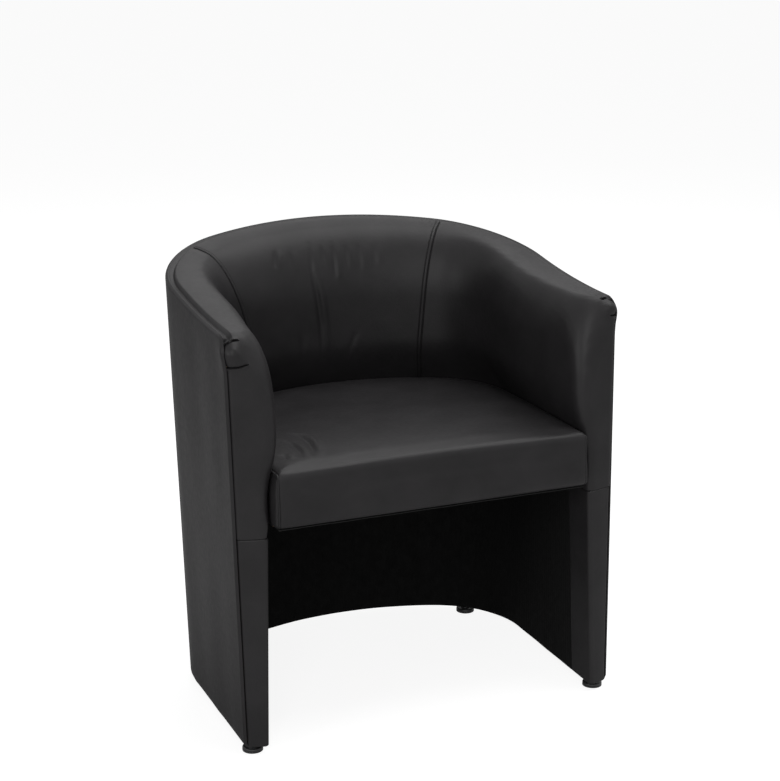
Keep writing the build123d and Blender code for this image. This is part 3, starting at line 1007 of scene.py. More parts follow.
@dataclass(frozen=True)
class SeamPlane:
    """A sewn seam in a plane: a groove, a raised lap on one side and the lap's stitch line."""

    point: Triple
    normal: Triple
    groove: float = 0.0017
    groove_width: float = 0.0010
    lap: float = 0.0008
    lap_width: float = 0.0052
    stitch: float = 0.0009
    lap_start: float = 0.0002
    lap_slope: float = 0.001
    stitch_gap: float = 0.0006
    dip: float = 0.0006
    dip_width: float = 0.008
    coarse_reach: float = 0.013
    fine_reach: float = 0.0065
    fine_shift: float = 0.002

    def gap(self, places: Points) -> Points:
        """Gives each point's distance from the plane, positive on the lap's side."""
        normal = np.array(self.normal) / np.linalg.norm(self.normal)
        return (places - np.array(self.point)) @ normal

    def press(self, piece: Piece, where: Callable[[Points], Points]) -> None:
        """Refines the mesh along the seam and shapes its groove and lap.

        Args:
            piece: The padded piece.
            where: Says which places the seam runs through.
        """
        for middle, reach in ((0.0, self.coarse_reach), (self.fine_shift, self.fine_reach)):
            refine(piece, lambda at: (np.abs(self.gap(at) - middle) < reach) & where(at), 1)
        places = points_of(piece)
        q = self.gap(places)
        lap = ease((q - self.lap_start) / self.lap_slope)
        lap = lap * ease((self.lap_width + self.stitch_gap - q) / self.lap_slope)
        move = self.lap * lap
        move -= self.groove * np.exp(-((q / self.groove_width) ** 2))
        stitched = (q - self.lap_width - self.stitch_gap) / (0.8 * self.groove_width)
        move -= self.stitch * np.exp(-(stitched ** 2))
        move -= self.dip * np.exp(-((q / self.dip_width) ** 2))
        shift(piece, move * where(places))


@dataclass(frozen=True)
class Pleat:
    """A tuck at an arm's nose, where a flap of hide laps over the hide beside it along a line."""

    side: int
    over: int
    line: tuple[tuple[float, float], ...]
    lip: float = 0.0016
    trench: float = 0.0042
    trench_width: float = 0.0011
    slope: float = 0.0018
    lip_width: float = 0.0032
    slope_width: float = 0.006
    turn_start: float = 0.0004
    turn_width: float = 0.0008
    fade_way: float = 0.007
    near_way: float = 0.0045

    def gap(self, places: Points) -> tuple[Points, Points]:
        """Finds how far each point lies from the line, and how far along the tuck it is.

        Args:
            places: Points round the nose.

        Returns:
            The distances, positive on the upper flap's side, and the share of the tuck's depth there.
        """
        along, across = TUB.nose_way(places)
        line = np.array(self.line)
        fade = ease((line[-1, 0] - across) / self.fade_way) * (places[:, 0] * self.side > 0)
        return (along - np.interp(across, line[:, 0], line[:, 1])) * self.over, fade

    def near(self, places: Points) -> Points:
        """Says which places lie close to the line."""
        gap, fade = self.gap(places)
        return (np.abs(gap) < self.near_way) & (fade > 0.0) & TUB.at_nose(places)

    def press(self, piece: Piece) -> None:
        """Raises the lapping flap's lip and sinks the hide beneath it.

        Args:
            piece: The padded piece, finely meshed round the line.
        """
        places = points_of(piece)
        gap, fade = self.gap(places)
        fade = fade * TUB.at_nose(places)
        under = ease((self.turn_start - gap) / self.turn_width)
        move = self.lip * (1 - under) * np.exp(-((gap / self.lip_width) ** 2))
        move -= under * self.trench * np.exp(-((np.minimum(gap, 0.0) / self.trench_width) ** 2))
        move -= under * self.slope * np.exp(np.minimum(gap, 0.0) / self.slope_width)
        shift(piece, move * fade)


@dataclass
class WallPadding:
    """The padded upper wall: two arm covers and the back cover, cut from one swollen form."""

    hide: Material
    bottom: float = 0.3475
    step: float = 0.0032
    leg_top: float = 0.3562
    ledge: float = 0.0062
    outer_inset: float = 0.0024
    outer_roll: float = 0.007
    front_inset: float = 0.0034
    roll_width: float = 0.038
    back_roll_width: float = 0.052
    roll_height: float = 0.090
    back_roll_height: float = 0.105
    front_outer: float = 0.005
    front_depth: float = 0.0775
    growth: float = 0.0195
    back_growth: float = 0.0115
    corner_heights: tuple[float, ...] = (0.37, 0.56, 0.66)
    corner_radii: tuple[float, ...] = (0.010, 0.030, 0.060)
    crown: float = 0.0015
    voxel: float = 0.005
    pace: tuple[float, float] = (0.35, 0.65)
    gap_height: float = 0.55
    inset_reach: float = 0.02
    growth_reach: float = 0.2
    flare_depth: float = 0.03
    least_top: float = 0.003
    # Shares of the way round the section where its foot, outer turn, flat, roll and wall end.
    section: tuple[float, ...] = (0.24, 0.30, 0.40, 0.64, 0.95)
    # The strip under the lap: depth inside, drop from the edge and way up the nose.
    lap_region: Triple = (0.022, 0.014, 0.018)
    # The arm fronts' lower ends: below this z and in front of this y.
    leg_region: tuple[float, float] = (0.364, -0.18)
    shelf_depth: float = 0.0125
    shelf_slope: float = 0.0055
    shelf_edge: float = 0.016
    shelf_fade: float = 0.008
    shelf_starts: tuple[float, float] = (0.018, 0.025)
    step_front: float = -0.17
    step_slope: float = 0.0014
    fine_below: float = 0.040
    puff: float = 0.0040
    puff_middle: float = 0.013
    puff_width: float = 0.011
    puff_share: float = 0.32
    seam_side: float = 0.10
    seams: tuple[SeamPlane, SeamPlane] = (
        SeamPlane((-0.2177, 0.1517, 0.6779), (0.7875, 0.5597, 0.2581)),
        SeamPlane((0.1729, 0.1570, 0.5998), (-0.7888, 0.6113, 0.0635)),
    )
    pleats: tuple[Pleat, ...] = (
        Pleat(-1, 1, ((0.000, 0.0150), (0.003, 0.0161), (0.010, 0.0186), (0.018, 0.0210), (0.024, 0.0210),
                      (0.029, 0.0188))),
        Pleat(-1, -1, ((0.000, -0.0209), (0.0125, -0.0210), (0.022, -0.0205), (0.0295, -0.0187),
                       (0.039, -0.0162))),
        Pleat(1, 1, ((0.000, 0.0225), (0.0035, 0.0235), (0.008, 0.0259), (0.015, 0.0276), (0.022, 0.0271),
                     (0.028, 0.0269))),
        Pleat(1, -1, ((0.000, -0.0045), (0.004, -0.0041), (0.012, -0.0029), (0.016, -0.0020))),
    )
    puffs: tuple[tuple[int, float, float], ...] = ((-1, -0.0190, 0.0190), (1, -0.0040, 0.0250))
    creases: tuple[Crease, ...] = (
        Crease(((-0.0374, 0.1957, 0.701), (-0.0403, 0.1791, 0.659), (-0.0319, 0.1742, 0.6115),
                (-0.0273, 0.1723, 0.569), (-0.0252, 0.1699, 0.510)), 0.0026, 0.0045),
        Crease(((-0.1028, 0.1864, 0.6986), (-0.1078, 0.1722, 0.670)), 0.0016, 0.0040),
        Crease(((0.0047, 0.1962, 0.699), (0.0033, 0.1810, 0.660), (0.0037, 0.1777, 0.642)), 0.0018, 0.0040),
        Crease(((-0.0666, 0.1670, 0.555), (-0.0644, 0.1663, 0.500)), 0.0008, 0.0050),
        Crease(((0.0385, 0.1703, 0.550), (0.0190, 0.1702, 0.505)), 0.0008, 0.0050),
        Crease(((0.0810, 0.1879, 0.6946), (0.0774, 0.1776, 0.6600)), 0.0010, 0.0045),
        Crease(((-0.0180, 0.1940, 0.698), (-0.0150, 0.1800, 0.662)), 0.0010, 0.0040),
        Crease(((0.0270, 0.1940, 0.697), (0.0260, 0.1790, 0.655)), 0.0010, 0.0045),
        Crease(((0.0520, 0.1920, 0.697), (0.0500, 0.1780, 0.650)), 0.0009, 0.0045),
        Crease(((-0.0760, 0.1900, 0.696), (-0.0770, 0.1760, 0.660)), 0.0008, 0.0045),
    )

    def place(self, u: Points, v: Points) -> Points:
        """Lays the horseshoe form's section along the wall.

        Args:
            u: Shares of the way round the wall, from arm front to arm front.
            v: Shares of the way round the section, from the outside's foot over the rim to the inside's.

        Returns:
            The points as rows.
        """
        side, m = halves(u)
        run = TUB.half_run * (self.pace[0] * m + self.pace[1] * m * m)
        gap = TUB.front_gap(run, np.full_like(run, self.gap_height))
        outer = self.outer_inset
        outer = outer + np.where(side < 0, self.front_inset, 0.0) * (1 - ease(gap / self.inset_reach))
        outer += rounding(gap, self.front_outer)
        nose = rounding(gap, TUB.nose_radius)
        deepest = self.front_depth + self.growth * ease(gap / self.growth_reach)
        behind = ease((run - TUB.straight_run) / TUB.corner_run)
        deepest += (self.back_growth - self.growth) * behind
        wide = self.roll_width + (self.back_roll_width - self.roll_width) * behind
        tall = self.roll_height + (self.back_roll_height - self.roll_height) * behind
        foot, turn, flat, roll, wall = self.section
        rise = between(v, 0, foot)
        bend = between(v, foot, turn) * math.pi / 2
        over = between(v, turn, flat)
        dive = between(v, flat, roll) * math.pi / 2
        down = between(v, roll, wall)
        back = between(v, wall, 1)

        def soft(z: Points) -> Points:
            """Gives how far the arm front's inner edge is rounded off at a height."""
            return rounding(gap, np.interp(z, self.corner_heights, self.corner_radii))

        least = outer + self.outer_roll + self.least_top
        top = TUB.rim_above(run, outer) - nose
        z = np.where(v < foot, self.bottom + rise * (top - self.outer_roll - self.bottom), 0)
        inset = np.where(v < turn, outer + self.outer_roll * (1 - np.cos(bend)), 0)
        inner = deepest - wide * (1 - np.sin(dive))
        inner = np.maximum(inner - soft(top - tall * (1 - np.cos(dive))), least)
        across = outer + self.outer_roll + over * (inner - outer - self.outer_roll)
        inset = np.where((v >= turn) & (v < flat), across, inset)
        inset = np.where((v >= flat) & (v < roll), inner, inset)
        top = TUB.rim_above(run, np.where(v >= roll, inner, inset)) - nose
        z = np.where((v >= foot) & (v < turn), top - self.outer_roll * (1 - np.sin(bend)), z)
        z = np.where((v >= turn) & (v < flat), top + 4 * self.crown * over * (1 - over), z)
        z = np.where((v >= flat) & (v < roll), top - tall * (1 - np.cos(dive)), z)
        low = top - tall
        z = np.where(v >= roll, low + down * (self.bottom - low), z)
        inner = np.maximum(TUB.swollen(z, deepest) - soft(z), least)
        inset = np.where((v >= roll) & (v < wall), inner, inset)
        z = np.where(v >= wall, self.bottom, z)
        inset = np.where(v >= wall, inner + back * (outer - inner), inset)
        places = TUB.lay(run, side, z, inset)
        return TUB.lay(run, side, z, inset - TUB.flare(places) * (1 - ease(inset / self.flare_depth)))

    def tuck(self, piece: Piece) -> None:
        """Sinks the padding where other covers lie over it: under the rim's lap and behind the leg covers.

        Args:
            piece: The swollen form.
        """
        def under_lap(at: Points) -> Points:
            """Picks the strip along the rim's outer edge."""
            depth, drop, way = self.lap_region
            return (TUB.inside(at) < depth) & (TUB.edge_depth(at) < drop) & (TUB.nose_way(at)[0] > way)

        def by_leg(at: Points) -> Points:
            """Picks the arm fronts' lower ends."""
            return (at[:, 2] < self.leg_region[0]) & (at[:, 1] < self.leg_region[1])

        refine(piece, under_lap, 1)
        refine(piece, by_leg, 2)
        places = points_of(piece)
        first = np.where(places[:, 0] < 0, *self.shelf_starts)
        shelf = 1 - ease((TUB.inside(places) - self.shelf_depth) / self.shelf_slope)
        edge = ease((self.shelf_edge - TUB.edge_depth(places)) / self.shelf_fade)
        shelf *= edge * ease((TUB.nose_way(places)[0] - first) / self.shelf_fade)
        places[:, 2] -= self.ledge * shelf
        move_points(piece, places)
        normals = normals_of(piece)
        behind = self.step * ease((self.leg_top - places[:, 2]) / self.step_slope)
        behind = behind * (places[:, 1] < self.step_front)
        upright = np.abs(normals[:, 2]) < 0.8
        move_points(piece, places - normals * behind[:, None] * upright[:, None])

    def pucker(self, piece: Piece) -> None:
        """Folds the pleats at each arm's nose and puffs the hide between them.

        Args:
            piece: The swollen form.
        """
        refine(piece, lambda at: TUB.at_nose(at, self.fine_below), 2)
        for fold in self.pleats:
            refine(piece, fold.near, 1)
        for side, low, high in self.puffs:
            places = points_of(piece)
            along, across = TUB.nose_way(places)
            puff = np.exp(-((along - (low + high) / 2) / (self.puff_share * (high - low))) ** 2)
            puff *= np.exp(-((across - self.puff_middle) / self.puff_width) ** 2) * (places[:, 0] * side > 0)
            puff *= TUB.at_nose(places)
            shift(piece, self.puff * puff)
        for fold in self.pleats:
            fold.press(piece)

    def build(self) -> None:
        """Builds the form, shapes its seams and folds, and cuts it into the three covers."""
        form = lay_grid("wall_padding", 220, 96, self.place)
        close_form(form)
        modify(form, "REMESH", mode="VOXEL", voxel_size=self.voxel)
        modify(form, "SMOOTH", factor=0.5, iterations=4)
        modify(form, "SUBSURF", levels=1, render_levels=1)
        for seam, side in zip(self.seams, (-1, 1)):
            seam.press(form, lambda at, side=side: at[:, 0] * side > self.seam_side)
        for fold in self.creases:
            fold.press(form)
        self.tuck(form)
        self.pucker(form)
        back = copy_piece(form, "back_cover_padded")
        for plane, name in zip(self.seams, ("left", "right")):
            arm = copy_piece(form, f"arm_cover_padded_{name}")
            cut_off(arm, plane.point, plane.normal)
            cut_off(back, plane.point, tuple(-n for n in plane.normal))
            nodes = [f"{node}_{name}" for node in ("arm_cover", "arm_foam", "arm_front_foam")]
            hand_over(arm, Slot.LEATHER, self.hide, *nodes)
        hand_over(back, Slot.LEATHER, self.hide, "back_cover", "back_foam")
        bpy.data.objects.remove(form)


@dataclass
class OuterCover:
    """The hide round the outside, its rolled edge and the sewn lap beside it."""

    hide: Material
    edge: float = 0.0030
    fold: float = 0.0042
    hide_thickness: float = 0.0014
    turned_under: float = 0.016
    gap_height: float = 0.62
    foot_share: float = 0.05
    foot_radius: float = 0.003
    slack: float = 0.0007
    slack_reach: float = 0.06
    lap_start: float = 0.78
    lap_short: int = 5
    lap_sink: float = 0.004
    lap_sink_reach: float = 0.008
    lap_across_mm: tuple[float, ...] = (
        3.6, 3.7, 4.0, 4.6, 5.4, 6.4, 7.4, 8.8, 10.4, 12.0, 13.6, 15.2, 16.8, 18.4, 14.0, 9.0, 5.0, 3.6)
    lap_down_mm: tuple[float, ...] = (
        7.6, 5.0, 3.5, 2.7, 2.5, 2.8, 3.4, 4.0, 4.5, 4.9, 5.3, 5.9, 6.8, 8.2, 9.0, 8.8, 8.4, 7.6)

    def place(self, u: Points, v: Points) -> Points:
        """Lays the wrap on the wall's outside, rolled in along its top and front.

        Args:
            u: Shares of the way round, from front edge to front edge.
            v: Shares of the way up, from the turned-under foot to the rim.

        Returns:
            The points as rows.
        """
        side, m = halves(u)
        steps = np.array([0, 0.0006, 0.0014, 0.0024, 0.0036, 0.006, 0.010, 0.016, 0.024, 0.034])
        far = np.linspace(0.046, TUB.half_run - self.edge, 71)
        run = self.edge + stop_at(m, np.concatenate([steps, far]))
        gap = TUB.front_gap(run, np.full_like(run, self.gap_height)) - self.edge
        top = TUB.rim_above(run, 0 * run) - self.edge - rounding(gap, TUB.nose_radius - self.edge)
        rows = [np.linspace(0, 0.06, 7), np.linspace(0.075, 0.93, 46)[:-1]]
        last = 1 - np.array([0.062, 0.04, 0.026, 0.017, 0.011, 0.0075, 0.0048, 0.0028, 0.0012, 0.0])
        share = stop_at(v, np.concatenate([*rows, last]))
        under = np.clip(1 - share / self.foot_share, 0, 1)
        z = TUB.lower_edge + between(share, self.foot_share, 1) * (top - TUB.lower_edge)
        places = TUB.lay(run, side, z, np.zeros_like(run))
        depth = np.clip(TUB.edge_depth(places) - self.edge, 0.0, None)
        inset = rounding(depth, self.fold) + under * self.turned_under
        inset += rounding(z - TUB.lower_edge, self.foot_radius) * (share >= self.foot_share)
        inset += (share < self.foot_share) * self.foot_radius
        slack = self.slack * np.sin(m * 34 + 1.3 * side) * np.sin(share * 5.1 + 0.6)
        slack = slack * ease(depth / self.slack_reach)
        return TUB.lay(run, side, z, np.maximum(inset + self.slack - slack, 0.0) - TUB.flare(places))

    def lap(self) -> Piece:
        """Builds the sewn lap that runs along the covers' outer edge.

        Returns:
            The lap as a closed strip.
        """
        places, inward, into = (rows[:-self.lap_short] for rows in TUB.edge_path(self.lap_start))
        across = np.array(self.lap_across_mm) / 1000
        down = np.array(self.lap_down_mm) / 1000
        count = len(places)
        steps = np.linalg.norm(np.diff(places, axis=0), axis=1)
        length = np.concatenate([[0.0], np.cumsum(steps)])
        to_end = np.minimum(length, length[-1] - length)
        sunk = self.lap_sink * (1 - ease(to_end / self.lap_sink_reach))

        def place(u: Points, v: Points) -> Points:
            """Sweeps the lap's section along the edge, its ends tucked in.

            Args:
                u: Shares of the way along the edge.
                v: Shares of the way round the section.

            Returns:
                The points as rows.
            """
            at = np.rint(u * (count - 1)).astype(int)
            step = np.rint(v * (len(across) - 1)).astype(int)
            deep = down[step] + sunk[at]
            return places[at] + inward[at] * across[step][:, None] + into[at] * deep[:, None]

        strip = lay_grid("edge_lap", count - 1, len(across) - 1, place)
        close_form(strip)
        return strip

    def build(self) -> None:
        """Builds the wrap and its lap."""
        cover = lay_grid("outer_wrap", 240, 61, self.place)
        turn_faces(cover, Facing.OUT)
        thicken(cover, self.hide_thickness)
        hand_over(cover, Slot.LEATHER, self.hide, "outer_cover", "outer_wadding", smooth=60)
        lap = self.lap()
        hand_over(lap, Slot.LEATHER, self.hide, smooth=60)


@dataclass
class LegCovers:
    """The hide on each front leg, turned inside the wall to an upright seam."""

    hide: Material
    top: float = 0.3555
    start: float = 0.0066
    edge: float = 0.0044
    corner: float = 0.009
    wrap: float = 0.062
    fold: float = 0.0016
    bulge: float = 0.0010
    bulge_reach: float = 0.03
    hidden_depth: float = 0.007
    to_inside: tuple[float, float] = (0.02, 0.03)
    hide_thickness: float = 0.0012
    # Shares of the way across where the hidden edge, outer turn, face and inner corner end.
    section: tuple[float, ...] = (0.08, 0.20, 0.48, 0.66)

    def place(self, side: int) -> Callable[[Points, Points], Points]:
        """Gives the way to lay one leg's cover.

        Args:
            side: -1 or 1 for the leg's side in x.

        Returns:
            A function of the grid's shares.
        """
        def lay(u: Points, v: Points) -> Points:
            """Follows the outer edge, the front, the inner corner and the return.

            Args:
                u: Shares of the way across.
                v: Shares of the way up.

            Returns:
                The points as rows.
            """
            rows = np.array([-0.016, -0.008, -0.002, 0.0, 0.0004, 0.0012, 0.003, 0.008])
            last = np.array([0.008, 0.005, 0.003, 0.0018, 0.0009, 0.0003, 0.0])
            last = self.top - TUB.lower_edge - last
            rise = stop_at(v, np.concatenate([rows, np.linspace(0.02, 0.325, 40), last]))
            under = np.clip(-rise, 0, None)
            z = TUB.lower_edge + np.clip(rise, 0, None)
            thick = TUB.lower_thickness(z)
            sink = rounding(np.minimum(np.clip(rise, 0, None), self.top - z), self.fold)
            sink = sink + (rise < 0) * self.fold + under
            reach = thick - self.corner
            outside, front, inner, back = self.section
            hidden = 1 - between(u, 0, outside)
            first = between(u, outside, front) * math.pi / 2
            face = between(u, front, inner)
            turn = between(u, inner, back) * math.pi / 2
            deep = between(u, back, 1)
            a = self.start + self.edge * (1 - np.cos(first)) + face * (reach - self.start - self.edge)
            a = a + self.corner * np.sin(turn)
            b = self.edge * (1 - np.sin(first)) + self.hidden_depth * hidden
            b = b + self.corner * (1 - np.cos(turn)) + deep * (self.wrap - self.corner)
            tuck = rounding(self.wrap - b, self.fold) * (u > back)
            puff = self.bulge * np.sin(math.pi * face) * ease(rise / self.bulge_reach)
            a = a + sink * np.cos(first) - (sink + tuck) * np.sin(turn)
            b = b + sink * np.sin(first) * np.cos(turn) - puff
            y = TUB.front_face(z) + b - TUB.turned(np.maximum(b, 0.0), a)
            return np.stack([side * (TUB.half_width(z) - a), y, z], axis=-1)

        return lay

    def build(self) -> None:
        """Builds both legs' covers."""
        for side, name in ((-1, "left"), (1, "right")):
            cover = lay_grid(f"leg_hide_{name}", 100, 54, self.place(side))
            places = points_of(cover)
            inside = places.mean(0) + np.array([side * self.to_inside[0], self.to_inside[1], 0])
            if ((places - inside) * normals_of(cover)).sum() < 0:
                flip_faces(cover)
            thicken(cover, self.hide_thickness)
            hand_over(cover, Slot.LEATHER, self.hide, f"leg_cover_{name}", f"leg_foam_{name}", smooth=60)


@dataclass
class LowerLining:
    """The dark lining on the inside of the wall below the seat."""

    cloth: Material
    start: float = 0.0622
    height: float = 0.3406
    fold: float = 0.0012
    thickness: float = 0.001
    ripple: float = 0.0006
    ripple_reach: float = 0.03

    def place(self, u: Points, v: Points) -> Points:
        """Lays the lining from one leg's seam to the other's.

        Args:
            u: Shares of the way round.
            v: Shares of the way up.

        Returns:
            The points as rows.
        """
        side, m = halves(u)
        steps = np.array([0, 0.0004, 0.0011, 0.002, 0.004, 0.009])
        way = np.concatenate([steps, np.linspace(0.018, TUB.half_run - self.start, 65)])
        ahead = stop_at(m, way)
        rows = np.array([-0.014, -0.005, 0.0, 0.0004, 0.0012, 0.003, 0.008])
        rise = stop_at(v, np.concatenate([rows, np.linspace(0.02, self.height, 34)]))
        z = TUB.lower_edge + np.clip(rise, 0, None)
        run = np.where(m > 0.5, self.start + ahead, TUB.run_at(self.start + ahead, z))
        sink = rounding(np.clip(rise, 0, None), self.fold) + rounding(ahead, self.fold)
        sink = sink + np.clip(-rise, 0, None) + (rise < 0) * self.fold
        ripple = self.ripple * np.sin(m * 41) * np.sin(rise * 17 + 0.4)
        inset = TUB.lower_thickness(z) - sink + ripple * ease(ahead / self.ripple_reach)
        return TUB.lay(run, side, z, inset)

    def build(self) -> None:
        """Builds the lining."""
        sheet = lay_grid("leg_space_lining", 200, 40, self.place)
        turn_faces(sheet, Facing.IN)
        thicken(sheet, self.thickness)
        hand_over(sheet, Slot.LINING, self.cloth, "lower_lining", smooth=60)


@dataclass
class Seat:
    """The sprung seat: its swollen cushion and side bands, and the plan that its cloths follow."""

    hide: Material
    inset: float = 0.0592
    draw_in: float = 0.0010
    front: float = -0.2735
    corner: float = 0.005
    bottom: float = 0.3692
    crown_height: float = 0.4680
    side_fall: float = 0.004
    side_span: float = 0.26
    back_fall: float = 0.0055
    fall_start: float = -0.20
    fall_reach: float = 0.40
    edge_radius: float = 0.013
    foot_radius: float = 0.003
    side_height: float = 0.08
    front_lift: float = 0.0035
    lift_start: float = 0.004
    lift_reach: float = 0.02
    band: float = 0.2640
    top_slack: float = 0.0015
    swell_cap: float = 0.002
    pressure: float = 4.0
    held_behind: float = 0.03
    held_below: float = 0.44
    held_foot: float = 0.008
    voxel: float = 0.005
    plan_height: float = 0.42
    middle: tuple[float, float] = (0.0, -0.02)
    # Shares of the way over the cushion where its bottom, side and rolled edge end.
    section: Triple = (0.25, 0.45, 0.6)
    cushion_cells: int = 320
    cloth_cells: int = 200
    creases: tuple[Crease, ...] = (
        Crease(((-0.181, -0.098, 0.4596), (-0.1715, -0.119, 0.4594), (-0.1694, -0.149, 0.4583),
                (-0.1757, -0.188, 0.4560), (-0.184, -0.215, 0.4539)), 0.0020, 0.0055),
        Crease(((-0.203, -0.132, 0.4572), (-0.1977, -0.154, 0.4566), (-0.198, -0.186, 0.4549),
                (-0.2035, -0.2186, 0.4526)), 0.0017, 0.0048),
        Crease(((-0.2282, -0.1925, 0.4527), (-0.2253, -0.2203, 0.4511)), 0.0013, 0.0042),
    )

    def outline(self, count: int, z: float) -> tuple[Points, Points]:
        """Walks round the seat's plan.

        Args:
            count: Points round it.
            z: The height whose wall section it follows.

        Returns:
            The points in plan and the directions out of the seat.
        """
        start = TUB.run_at(self.front + self.corner - TUB.front_face(z), z)
        run = np.linspace(start, TUB.half_run, 160)
        ones = np.ones_like(run)
        right = TUB.lay(run, ones, z * ones, self.inset * ones)[:, :2]
        right = right[right[:, 1] > self.front + self.corner + 0.001]
        turn = np.linspace(0, math.pi / 2, 8)
        wide = right[0, 0]
        bend = np.stack([wide - self.corner + self.corner * np.sin(turn),
                         self.front + self.corner - self.corner * np.cos(turn)], axis=-1)
        half = np.concatenate([[[0.0, self.front]], bend[:-1], right])
        loop = np.concatenate([half, half[-2:0:-1] * np.array([-1.0, 1.0]), half[:1]])
        length = np.concatenate([[0], np.cumsum(np.linalg.norm(np.diff(loop, axis=0), axis=1))])
        at = np.linspace(0, length[-1], count + 1)
        ring = np.stack([np.interp(at, length, loop[:, k]) for k in (0, 1)], axis=-1)
        way = np.roll(ring[:-1], -1, axis=0) - np.roll(ring[:-1], 1, axis=0)
        out = np.stack([way[:, 1], -way[:, 0]], axis=-1)
        out /= np.linalg.norm(out, axis=1, keepdims=True)
        return ring, np.concatenate([out, out[:1]])

    def crown(self, x: Points, y: Points) -> Points:
        """Gives the cushion top's height, which falls to the sides and to the back."""
        fall = self.back_fall * ease((y - self.fall_start) / self.fall_reach)
        return self.crown_height - self.side_fall * (x / self.side_span) ** 2 - fall

    def cushion(self) -> Piece:
        """Builds the cushion's closed form, swells it and shapes its folds.

        Returns:
            The cushion, not yet cut at its side seams.
        """
        count = self.cushion_cells
        ring, out = self.outline(count, self.plan_height)
        middle = np.array(self.middle)
        foot_end, wall_end, roll_end = self.section

        def place(u: Points, v: Points) -> Points:
            """Lays rings from the bottom's middle over the side to the top's.

            Args:
                u: Shares of the way round.
                v: Shares of the way over the section.

            Returns:
                The points as rows.
            """
            at = np.rint(u * count).astype(int)
            low = between(v, 0, foot_end)
            wall = between(v, foot_end, wall_end)
            roll = between(v, wall_end, roll_end) * math.pi / 2
            over = between(v, roll_end, 1)
            inside = self.edge_radius * (1 - np.cos(roll)) * (v > wall_end)
            inside += rounding(wall * self.side_height, self.foot_radius)
            inside += self.draw_in * ease((wall - 0.3) / 0.4)
            edge = ring[at] - out[at] * inside[:, None]
            shrink = np.where(v < foot_end, low, 1 - over)[:, None]
            flat = middle + (edge - middle) * shrink
            top = self.crown(flat[:, 0], flat[:, 1]) - self.top_slack
            behind = ease((flat[:, 1] - self.front - self.lift_start) / self.lift_reach)
            foot = self.bottom + self.front_lift * (1 - behind)
            z = np.where(v < foot_end, foot, foot + wall * (top - self.edge_radius - foot))
            z = np.where(v >= wall_end, top - self.edge_radius * (1 - np.sin(roll)), z)
            return np.concatenate([flat, z[:, None]], axis=1)

        form = lay_grid("seat_form", count, 80, place)
        close_form(form)
        modify(form, "REMESH", mode="VOXEL", voxel_size=self.voxel)
        places = points_of(form)
        held = (places[:, 1] > self.front + self.held_behind) & (places[:, 2] < self.held_below)
        held |= places[:, 2] < self.bottom + self.held_foot
        swell(form, held, self.swell_cap, self.pressure)
        modify(form, "SMOOTH", factor=0.5, iterations=3)
        modify(form, "SUBSURF", levels=1, render_levels=1)
        for fold in self.creases:
            fold.press(form)
        return form

    def build(self) -> None:
        """Builds the cushion and cuts its side bands off at their seams."""
        form = self.cushion()
        seams = []
        for side in (-1, 1):
            seam = SeamPlane(
                (side * self.band, 0.0, self.plan_height), (-side, 0.0, 0.0),
                groove=0.0012, lap=0.0005, lap_width=0.003,
            )
            low = self.bottom + 0.002
            seam.press(form, lambda at, side=side: (at[:, 0] * side > 0.2) & (at[:, 2] > low))
            seams.append(seam)
        bands = []
        for seam in seams:
            band = copy_piece(form, f"seat_band_{len(bands)}")
            cut_off(band, seam.point, seam.normal)
            cut_off(form, seam.point, tuple(-n for n in seam.normal))
            bands.append(band)
        label(form, "seat_cushion")
        hand_over(form, Slot.LEATHER, self.hide, "seat_cover", "seat_foam")
        band = join_pieces(bands, "seat_side_bands")
        hand_over(band, Slot.LEATHER, self.hide, "seat_side_band")

    def flat_sheet(self, name: str, inward: float, z: float, sag: float, thickness: float) -> Piece:
        """Builds a cloth of the seat's plan.

        Args:
            name: The piece's name.
            inward: How far its edge lies inside the seat's.
            z: The height of its edge.
            sag: How far its middle hangs.
            thickness: The cloth's thickness.

        Returns:
            The sheet as a closed shell.
        """
        count = self.cloth_cells
        ring, out = self.outline(count, self.plan_height)
        ring = ring - out * inward
        middle = np.array(self.middle)

        def place(u: Points, v: Points) -> Points:
            """Lays rings from the middle to the edge.

            Args:
                u: Shares of the way round.
                v: Shares of the way out.

            Returns:
                The points as rows.
            """
            at = np.rint(u * count).astype(int)
            flat = middle + (ring[at] - middle) * v[:, None]
            ripple = 0.0002 * np.sin(flat[:, 0] * 70) * np.sin(flat[:, 1] * 55)
            return np.concatenate([flat, (z - sag * (1 - v * v) + ripple)[:, None]], axis=1)

        sheet = lay_grid(name, count, 40, place)
        with editing(sheet):
            bpy.ops.mesh.remove_doubles(threshold=MERGE_DISTANCE)
        turn_faces(sheet, Facing.DOWN)
        thicken(sheet, thickness)
        return sheet


